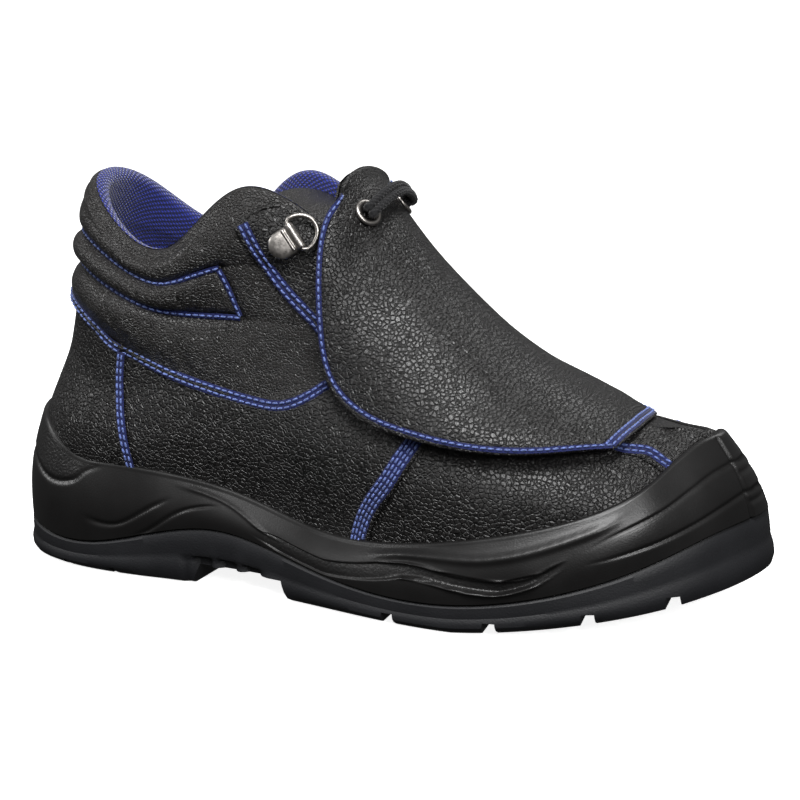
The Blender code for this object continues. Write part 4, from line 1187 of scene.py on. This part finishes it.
# the ridge's x and height, half width, then how far the sides fall back and down
guardTable = [
    (0.858, 0.470, 0.232, 0.012, 0.022), (0.780, 0.512, 0.365, 0.022, 0.085),
    (0.722, 0.566, 0.430, 0.042, 0.138), (0.664, 0.640, 0.440, 0.052, 0.196),
    (0.612, 0.722, 0.425, 0.054, 0.253), (0.563, 0.812, 0.390, 0.052, 0.298),
    (0.525, 0.895, 0.355, 0.046, 0.280), (0.492, 0.967, 0.312, 0.024, 0.165),
    (0.466, 1.030, 0.185, -0.004, 0.020),
]
guardPlan = {
    "skew": 0.012, "arc": 0.86, "innerShare": 0.88, "innerDrop": (0.50, 0.72, 1.10, 1.00),
    "thick": 0.0034, "toeThick": 0.45, "clear": 0.0018, "net": (19, 17), "columns": 250, "rows": 210,
    "press": (0.0018, 0.0013, 0.0007, 0.0002),  # pressed down at the toe edge, in metres
    "inset": 0.0029, "toeInsets": (0.0018, 0.0038), "dip": 0.0004, "dipWidth": 0.0011, "round": 0.0017,
    "eyeletS": 6.75, "eyeletV": 0.30,
}
# slight sags and folds: place along and across, size and height
flapFolds = [
    (0.62, 0.24, 0.10, 0.10, -0.0012), (0.46, 0.30, 0.12, 0.07, 0.0010), (0.80, 0.30, 0.05, 0.14, -0.0008),
    (0.30, 0.18, 0.10, 0.06, -0.0008), (0.36, 0.75, 0.12, 0.09, -0.0010), (0.60, 0.72, 0.09, 0.08, 0.0009),
    (0.15, 0.40, 0.07, 0.10, 0.0006), (0.88, 0.52, 0.04, 0.20, 0.0007),
]
guardX, guardZ, guardOut, guardBack, guardDown = (
    naturalSpline([row[k] for row in guardTable]) for k in range(5)
)


def guardRaw(s, v):
    s, v = np.broadcast_arrays(np.asarray(s, float), np.asarray(v, float))
    end = guardPlan["arc"] * math.pi / 2
    angle = np.abs(v) * end
    over = np.sin(angle) / math.sin(end) * np.sign(v)
    fall = (1 - np.cos(angle)) / (1 - math.cos(end))
    narrowed = np.where(v > 0, np.interp(s, (3, 6), (guardPlan["innerShare"], 1.0)), 1.0)
    drop = np.where(v > 0, np.interp(s, (0, 1, 3, 6), guardPlan["innerDrop"]), 1.0)
    x = (guardX(s) - guardBack(s) * fall) * shoe["length"]
    y = guardOut(s) * shoe["ball"] * narrowed * over + guardPlan["skew"] * shoe["ball"]
    z = (guardZ(s) - guardDown(s) * fall * drop) * shoe["shaft"]
    return stack(x, y, z) + shift


def guardControl():
    # the flap laid on the CAD upper, as a coarse net for a smooth surface
    rows, columns = guardPlan["net"]
    s, v = np.meshgrid(np.linspace(0, 8, rows), np.linspace(-1, 1, columns), indexing="ij")
    net = addObject("guardNet", makeMesh("guardNet", guardRaw(s, v), gridQuads(rows, columns)))
    low = net.vertex_groups.new(name="low")
    for i in range(rows):
        share = min(max(4.0 - 8 * i / (rows - 1), 0.0), 1.0)
        low.add(list(range(i * columns, (i + 1) * columns)), share, "REPLACE")
    clear = net.modifiers.new("clear", "SHRINKWRAP")
    clear.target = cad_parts["upper"]
    clear.wrap_method = "NEAREST_SURFACEPOINT"
    clear.wrap_mode = "OUTSIDE"
    clear.offset = guardPlan["clear"]
    clear.vertex_group = "low"
    calm = net.modifiers.new("calm", "SMOOTH")
    calm.factor = 0.5
    calm.iterations = 1
    calm.vertex_group = "low"
    laid = net.evaluated_get(bpy.context.evaluated_depsgraph_get()).to_mesh()
    flat = np.zeros(len(laid.vertices) * 3)
    laid.vertices.foreach_get("co", flat)
    bpy.data.objects.remove(net)
    return flat.reshape(rows, columns, 3)


def guardSurface(a, b):
    # a and b: shares along and across, as two axes of a grid
    rows = naturalSpline(guardNet)(np.asarray(a) * (len(guardNet) - 1))
    grid = naturalSpline(rows.transpose(1, 0, 2))(np.asarray(b) * (guardNet.shape[1] - 1))
    return grid.transpose(1, 0, 2)


def gridNormals(points):
    up = np.gradient(points, axis=0)
    across = np.gradient(points, axis=1)
    return unit(np.cross(across, up))


guardNet = guardControl()
netNormals = gridNormals(guardNet)
for row, press in enumerate(guardPlan["press"]):
    guardNet[row] -= netNormals[row] * press
fineA, fineB = np.linspace(0, 1, 361), np.linspace(0, 1, 321)
guardFine = guardSurface(fineA, fineB)
guardNormals = gridNormals(guardFine)


def sampleGrid(grid, a, b):
    # bilinear look-up at shares a (rows) and b (columns)
    x = np.clip(np.asarray(a, float), 0, 1) * (grid.shape[0] - 1)
    y = np.clip(np.asarray(b, float), 0, 1) * (grid.shape[1] - 1)
    i, j = np.minimum(x.astype(int), grid.shape[0] - 2), np.minimum(y.astype(int), grid.shape[1] - 2)
    u, w = (x - i)[..., None], (y - j)[..., None]
    return (
        (1 - u) * (1 - w) * grid[i, j] + u * (1 - w) * grid[i + 1, j]
        + (1 - u) * w * grid[i, j + 1] + u * w * grid[i + 1, j + 1]
    )


def guardEdgeLines():
    # lines inside the flap's border: both sides, and two along its toe edge
    inset = guardPlan["inset"]
    width = np.linalg.norm(np.diff(guardFine, axis=1), axis=-1).sum(1)
    length = np.linalg.norm(np.diff(guardFine, axis=0), axis=-1).sum(0)
    share = inset / width
    first, last = (toeInset / length.mean() for toeInset in guardPlan["toeInsets"])
    a = np.linspace(1 - inset / length.mean(), first, 300)
    outer = np.stack([a, np.interp(a, fineA, share)], -1)
    lines = [outer, np.stack([outer[::-1, 0], 1 - outer[::-1, 1]], -1)]
    for toeShare in (first, last):
        b = np.linspace(outer[-1, 1], 1 - outer[-1, 1], 120)
        lines.append(np.stack([np.full(len(b), toeShare), b], -1))
    return lines


def guardThick(a):
    # thinner where the flap is sewn down at the toe
    least = guardPlan["toeThick"]
    return guardPlan["thick"] * (least + (1 - least) * smoothStep(np.asarray(a) / 0.10))


guardSeams = []
for spots in guardEdgeLines():
    edgeNormals = sampleGrid(guardNormals, spots[:, 0], spots[:, 1])
    edgeLine = sampleGrid(guardFine, spots[:, 0], spots[:, 1]) + edgeNormals * guardThick(spots[:, :1])
    stitchRows.append(evenly(edgeLine, edgeNormals))
    guardSeams.append((stitchRows[-1][0], guardPlan["dip"], guardPlan["dipWidth"]))

guardA = bunched(countFor(guardPlan["columns"]))
guardB = bunched(countFor(guardPlan["rows"]))
base = guardSurface(guardA, guardB)
normals = gridNormals(base)
reach = np.clip(borderDistance(base) / guardPlan["round"], 0, 1)
aa, bb = np.meshgrid(guardA, guardB, indexing="ij")
half = guardThick(aa) / 2 * np.sqrt(1 - (1 - reach) ** 2)
middle = base + normals * (guardThick(aa) / 2)[..., None]
folds = np.zeros(aa.shape)
for atA, atB, sizeA, sizeB, tallness in flapFolds:
    folds = folds + tallness * np.exp(-(((aa - atA) / sizeA) ** 2) - ((bb - atB) / sizeB) ** 2)
top = middle + normals * (half + folds * smoothStep(reach))[..., None]
top = top - normals * seamDip(top, guardSeams)[..., None]
bottom = (middle - normals * half[..., None])[::2, ::2]
finishPiece(gridMesh("guardFlap", top, pebbledLeather, flip=True), "upper_leather", "guard")
finishPiece(gridMesh("guardLining", bottom, softLeather), "upper_leather")
print("flap made")


# Eyelets, clips and D-rings


def frameOn(place, normal, along):
    z = unit(np.array(normal))
    x = unit(along - z * np.dot(along, z))
    y = np.cross(z, x)
    made = np.eye(4)
    made[:3, 0], made[:3, 1], made[:3, 2], made[:3, 3] = x, y, z, place
    return made


def guardRawNormal(s, v):
    up = guardRaw(s + 0.02, v) - guardRaw(s - 0.02, v)
    across = guardRaw(s, v + 0.01) - guardRaw(s, v - 0.01)
    return unit(np.cross(across, up))


def turned(points, matrix):
    return points @ matrix[:3, :3].T + matrix[:3, 3]


eyeletPlan = {
    "hole": 0.0035, "radius": 0.0054, "height": 0.0012, "lap": 0.0004, "over": 0.0002, "under": 0.0006,
}
eyeletFrames = {}
for hand, name in ((-1, "Outer"), (1, "Inner")):
    s, v = guardPlan["eyeletS"], hand * guardPlan["eyeletV"]
    matrix = frameOn(guardRaw(s, v), guardRawNormal(s, v), np.array([1.0, 0, 0]))
    eyeletFrames[hand] = matrix
    hole, radius, lap = eyeletPlan["hole"], eyeletPlan["radius"], eyeletPlan["lap"]
    low = guardPlan["thick"] + eyeletPlan["over"]
    profile = [(hole - lap, -eyeletPlan["under"]), (hole - lap, low)]
    for angle in np.linspace(math.pi, 0, 12):
        r = (radius + hole) / 2 + (radius - hole + lap) / 2 * math.cos(angle)
        profile.append((r, low + eyeletPlan["height"] * math.sin(angle) ** 0.8))
    profile.append((radius, low - eyeletPlan["over"]))
    around = np.linspace(0, 2 * math.pi, 65)[:-1]
    grid = np.array([[(r * math.cos(q), r * math.sin(q), z) for q in around] for r, z in profile])
    eyelet = gridMesh("eyelet" + name, turned(grid, matrix), nickel, closed=True, flip=True)
    finishPiece(eyelet, "nickel", "eyelet_" + name.lower())

# Where each clip sits on its facing: the top three rows of its matrix
ringFrames = {
    "outer": [
        (0.42512, -0.84026, 0.33651, -0.02077), (0.38421, -0.1691, -0.90763, -0.03064),
        (0.81954, 0.51514, 0.25095, 0.1388),
    ],
    "inner": [
        (0.48983, 0.82501, 0.28182, -0.02155), (-0.20226, -0.2069, 0.95723, 0.02865),
        (0.84803, -0.52588, 0.06553, 0.13798),
    ],
}
ringPlan = {
    "wire": 0.0009, "half": 0.0068, "reach": 0.0090, "bowStart": 0.0014, "length": 0.0112, "side": 0.0054,
    "dome": 0.0011, "foot": 0.0009, "barrel": 0.0018, "turn": -24,
    # the pressed rib: how far along the clip, its height, its radius and share of the width
    "rib": (-0.0030, 0.0018, 0.0007, 0.86),
}


def tube(name, line, radius, finish, closed=False, sides=20, ups=(0.0, 0.0, 1.0), braid=0.0, pitch=0.004):
    # a round bar, of one radius or a radius for each point, or a braided cord
    line = np.asarray(line, float)
    radius = np.asarray(radius, float).reshape(-1, 1)
    along = unit(np.roll(line, -1, 0) - np.roll(line, 1, 0) if closed else np.gradient(line, axis=0))
    side = unit(np.cross(along, ups))
    over = np.cross(side, along)
    q, far = np.meshgrid(np.linspace(0, 2 * math.pi, sides + 1)[:-1], lengthsAlong(line))
    twist = far / pitch * 2 * math.pi
    r = radius * (1 - braid + braid * (np.abs(np.sin(q * 2 + twist)) + np.abs(np.sin(q * 2 - twist))))
    sideways, upward = (np.cos(q) * r)[..., None], (np.sin(q) * r)[..., None]
    points = line[:, None] + side[:, None] * sideways + over[:, None] * upward
    if closed:
        points = np.concatenate([points, points[:1]])
    return gridMesh(name, points, finish, closed=True, flip=True)


def plateRings(length, side, dome, foot):
    # a domed plate with a straight edge at the barrel and a rounded end
    outline = [(0.0, -side), (0.0, -side / 2), (0.0, 0.0), (0.0, side / 2), (0.0, side)]
    outline += [(-(length - side) * k / 4, side) for k in range(1, 5)]
    for k in range(1, 20):
        angle = math.pi / 2 - math.pi * k / 20
        outline.append((-(length - side) - side * math.cos(angle), side * math.sin(angle)))
    outline += [(-(length - side) * k / 4, -side) for k in range(4, 0, -1)]
    outline = np.array(outline)
    middle = np.array([-length / 2, 0.0])
    layers = []
    for share in np.linspace(0.02, 1.0, 12):
        level = foot + dome * (1 - share**3.5)
        levels = np.full((len(outline), 1), level)
        layers.append(np.concatenate([middle + (outline - middle) * share, levels], 1))
    layers.append(layers[-1] * (1, 1, 0) - (0, 0, 0.0004))
    return np.array(layers)


def addHardware(name, rows):
    matrix = np.eye(4)
    matrix[:3] = np.array(rows)
    spin = math.radians(ringPlan["turn"] * (1 if name == "outer" else -1))
    matrix = matrix @ np.array(Matrix.Rotation(spin, 4, "Z"))
    loop = ringPlan["barrel"] + 0.0002
    half, reach, start = ringPlan["half"], ringPlan["reach"], ringPlan["bowStart"]
    bow = [(0.0, -half * 0.86, loop), (0.0, 0.0, loop), (0.0, half * 0.86, loop)]
    for k in range(41):
        angle = math.radians(90 - 180 * k / 40)
        bow.append((start + (reach - start) * math.cos(angle), half * math.sin(angle), loop))
    path = turned(np.array(bow), matrix)
    ring = tube(
        "dRing" + name.title(), path, ringPlan["wire"], nickel, closed=True, sides=16, ups=matrix[:3, 2]
    )
    finishPiece(ring, "nickel", "ring_" + name)
    plate = plateRings(ringPlan["length"], ringPlan["side"], ringPlan["dome"], ringPlan["foot"])
    clip = gridMesh("clip" + name.title(), turned(plate, matrix), nickel, closed=True, flip=True)
    finishPiece(clip, "nickel", "clip_" + name)
    # the barrel rolled round the ring's straight bar, and the pressed rib beside it
    places = np.array([-1.0, -0.99, -0.96, -0.9, -0.5, 0.0, 0.5, 0.9, 0.96, 0.99, 1.0])
    for part, sizes in (("barrel", (0.0, loop, ringPlan["barrel"], 1.0)), ("rib", ringPlan["rib"])):
        at, level, size, width = sizes
        radii = size * np.sqrt(np.maximum(1 - np.abs(places) ** 40, 0.0001))
        side = places * (ringPlan["side"] * width)
        bar = turned(np.stack([np.full(len(places), at), side, np.full(len(places), level)], 1), matrix)
        finishPiece(tube(part + name.title(), bar, radii, nickel, ups=matrix[:3, 2]), "nickel")


for name, rows in ringFrames.items():
    addHardware(name, rows)
print("hardware made")


# The lace: two cords side by side over the flap's ridge

lacePlan = {
    "radius": 0.0014, "spacing": 0.0031, "rise": 0.0035, "braid": 0.26, "pitch": 0.0038, "points": 420,
    "seat": 0.0016, "ends": (0.0005, -0.0010, 0.0015),  # heights in the eyelet, then about the cord's own
}
laceS = guardPlan["eyeletS"]
laceTop = guardPlan["thick"] + lacePlan["seat"] + lacePlan["radius"]
upRidge = unit(guardRaw(laceS + 0.1, 0.0) - guardRaw(laceS - 0.1, 0.0))
ridgeMiddle = guardRaw(laceS, 0.0) + guardRawNormal(laceS, 0.0) * (laceTop + lacePlan["rise"])
inside, below, above = lacePlan["ends"]
heights = (inside, laceTop + below, laceTop + above)
for hand, name in ((-1, "Front"), (1, "Back")):
    route = [turned(np.array([0, 0, z]), eyeletFrames[-1]) for z in heights]
    route.append(ridgeMiddle)
    route += [turned(np.array([0, 0, z]), eyeletFrames[1]) for z in reversed(heights)]
    line = polyline(np.array(route) + upRidge * hand * lacePlan["spacing"] / 2, lacePlan["points"])
    cord = tube(
        "lace" + name, line, lacePlan["radius"], laceYarn, ups=upRidge,
        braid=lacePlan["braid"], pitch=lacePlan["pitch"],
    )
    finishPiece(cord, "lace", "lace_" + name.lower())
print("lace made")


# Threads

# the last three sizes are the half width, edge sink and middle rise of the dark strip under each row, painted
# seam shade
threadPlan = {
    "pitch": 0.0029, "length": 0.0023, "radius": 0.00045, "lift": 0.00006, "uneven": 0.00008,
    "reach": 0.0008, "lean": (0.05, 0.03), "bed": 0.0011, "bedEdge": 0.00020, "bedMiddle": 0.00004,
}


def capsule(length, radius, sides=6, rings=7):
    points, faces = [], []
    for k in range(rings):
        angle = math.pi * k / (rings - 1)
        x = -math.cos(angle) * length / 2
        r = radius * max(math.sin(angle), 0.02) ** 0.5
        arch = radius * 0.35 * math.sin(angle)
        for j in range(sides):
            q = 2 * math.pi * j / sides
            points.append((x, r * math.cos(q), r * math.sin(q) + arch))
    for k in range(rings - 1):
        for j in range(sides):
            a, b = k * sides + j, k * sides + (j + 1) % sides
            faces.append((a, b, b + sides, a + sides))
    return np.array(points), np.array(faces)


template, templateFaces = capsule(threadPlan["length"], threadPlan["radius"])
threadPoints, threadFaces, bedPoints, bedFaces = [], [], [], []
for line, normals in stitchRows:
    lengths = lengthsAlong(line)
    for far in np.arange(threadPlan["pitch"] / 2, lengths[-1], threadPlan["pitch"]):
        far = far + rng.normal(0, threadPlan["uneven"])
        start, end = (readAlong(line, lengths, far + d * threadPlan["reach"]) for d in (-1, 1))
        normal = unit(readAlong(normals, lengths, far))
        along = unit(end - start)
        along = unit(along + unit(np.cross(normal, along)) * rng.normal(*threadPlan["lean"]))
        side = np.cross(normal, along)
        place = (start + end) / 2 + normal * threadPlan["lift"]
        threadFaces.append(templateFaces + len(threadPoints) * len(template))
        turnedStitch = template[:, :1] * along + template[:, 1:2] * side + template[:, 2:] * normal
        threadPoints.append(place + turnedStitch)
    # a dark navy strip under each row of thread: painted shade in the seam's groove between the stitches
    side = unit(np.cross(normals, unit(np.gradient(line, axis=0)))) * threadPlan["bed"]
    down = normals * threadPlan["bedEdge"]
    ribbon = np.stack([line - side - down, line + normals * threadPlan["bedMiddle"], line + side - down], 1)
    bedFaces.append(gridQuads(len(line), 3)[:, ::-1] + sum(len(points) for points in bedPoints))
    bedPoints.append(ribbon.reshape(-1, 3))
stitchMesh = makeMesh("stitches", np.concatenate(threadPoints), np.concatenate(threadFaces))
finishPiece(addPiece("stitches", stitchMesh, blueThread), None)
seamShadeMesh = makeMesh("seamShadeStrips", np.concatenate(bedPoints), np.concatenate(bedFaces))
finishPiece(addPiece("seamShadeStrips", seamShadeMesh, paintedSeamShade), None)
print("threads made", len(threadPoints))


# Floor, light and camera

studioPlan = {"floor": 14, "glow": 0.88, "grey": (0.89, 0.91), "sky": (0.05, 0.30), "horizon": (0.38, 0.75)}
half = studioPlan["floor"]
corners = [(-half, -half, 0), (half, -half, 0), (half, half, 0), (-half, half, 0)]
floorFinish, floorTree, floorShader = makeMaterial("studioFloor", (0.9, 0.9, 0.9), 0.8, specular=0.2)
floorNoise = addNoise(floorTree, addNode(floorTree, "TexCoord").outputs["Object"], 30.0, 2.0)
darkGrey, lightGrey = ((grey,) * 3 for grey in studioPlan["grey"])
floorColour = addRamp(floorTree, floorNoise, 0.3, 0.7, darkGrey, lightGrey)
floorTree.links.new(floorColour, floorShader.inputs["Base Color"])
floorShader.inputs["Emission Color"].default_value = (1, 1, 1, 1)
floorShader.inputs["Emission Strength"].default_value = studioPlan["glow"]
floor = addPiece("floor", makeMesh("floor", corners, [(0, 1, 2, 3)]), floorFinish, smooth=False)
floor.visible_diffuse = False
floor.visible_glossy = False

world = bpy.data.worlds.new("studio")
bpy.context.scene.world = world
world.use_nodes = True
sky = world.node_tree
skyPlace = addNode(sky, "SeparateXYZ", {"Vector": addNode(sky, "TexCoord").outputs["Generated"]})
skyHeight = addRange(sky, skyPlace.outputs["Z"], -1.0, 1.0, 0.0, 1.0)
darkSky, lightSky = ((grey,) * 3 for grey in studioPlan["sky"])
skyColour = addRamp(sky, skyHeight, *studioPlan["horizon"], darkSky, lightSky)
sky.links.new(skyColour, sky.nodes["Background"].inputs["Color"])
sky.nodes["Background"].inputs["Strength"].default_value = 1.0

lightPlan = [
    # name, direction, distance, power, size
    ("key", (0.25, -0.80, 1.30), 1.5, 30.0, 0.60),
    ("left", (-1.2, -0.5, 0.7), 1.5, 6.0, 0.40),
    ("right", (1.0, -1.0, 0.70), 1.5, 11.0, 0.40),
    ("back", (0.3, 1.1, 1.3), 1.5, 4.0, 0.5),
]
for name, direction, distance, power, size in lightPlan:
    lamp = bpy.data.lights.new(name, "AREA")
    lamp.shape = "SQUARE"
    lamp.size = size
    lamp.energy = power
    toward = Vector(direction).normalized()
    turn = toward.to_track_quat("Z", "Y").to_matrix().to_4x4()
    addObject(name, lamp).matrix_world = Matrix.Translation(Vector((0, 0, 0.06)) + toward * distance) @ turn

cameraPlan = {
    "azimuth": 24, "elevation": 13, "distance": 0.8, "middle": (0.150, 0, 0.075),
    "lens": 91.8, "shift": (0.03225, -0.0124),
}
azimuth, elevation = math.radians(cameraPlan["azimuth"]), math.radians(cameraPlan["elevation"])
right = Vector((math.cos(azimuth), math.sin(azimuth), 0))
level = math.cos(elevation)
back = Vector((math.sin(azimuth) * level, -math.cos(azimuth) * level, math.sin(elevation)))
lens = bpy.data.cameras.new("camera")
lens.sensor_width = 36
lens.lens = cameraPlan["lens"]
lens.shift_x, lens.shift_y = cameraPlan["shift"]
lens.clip_start = 0.01
lens.clip_end = 100
camera = addObject("camera", lens)
middle = Vector(cameraPlan["middle"]) + Vector(shift)
turn = Matrix((right, back.cross(right), back)).transposed().to_4x4()
camera.matrix_world = Matrix.Translation(middle + back * cameraPlan["distance"]) @ turn

bpy.context.scene.camera = camera
bpy.context.scene.view_settings.view_transform = "Standard"
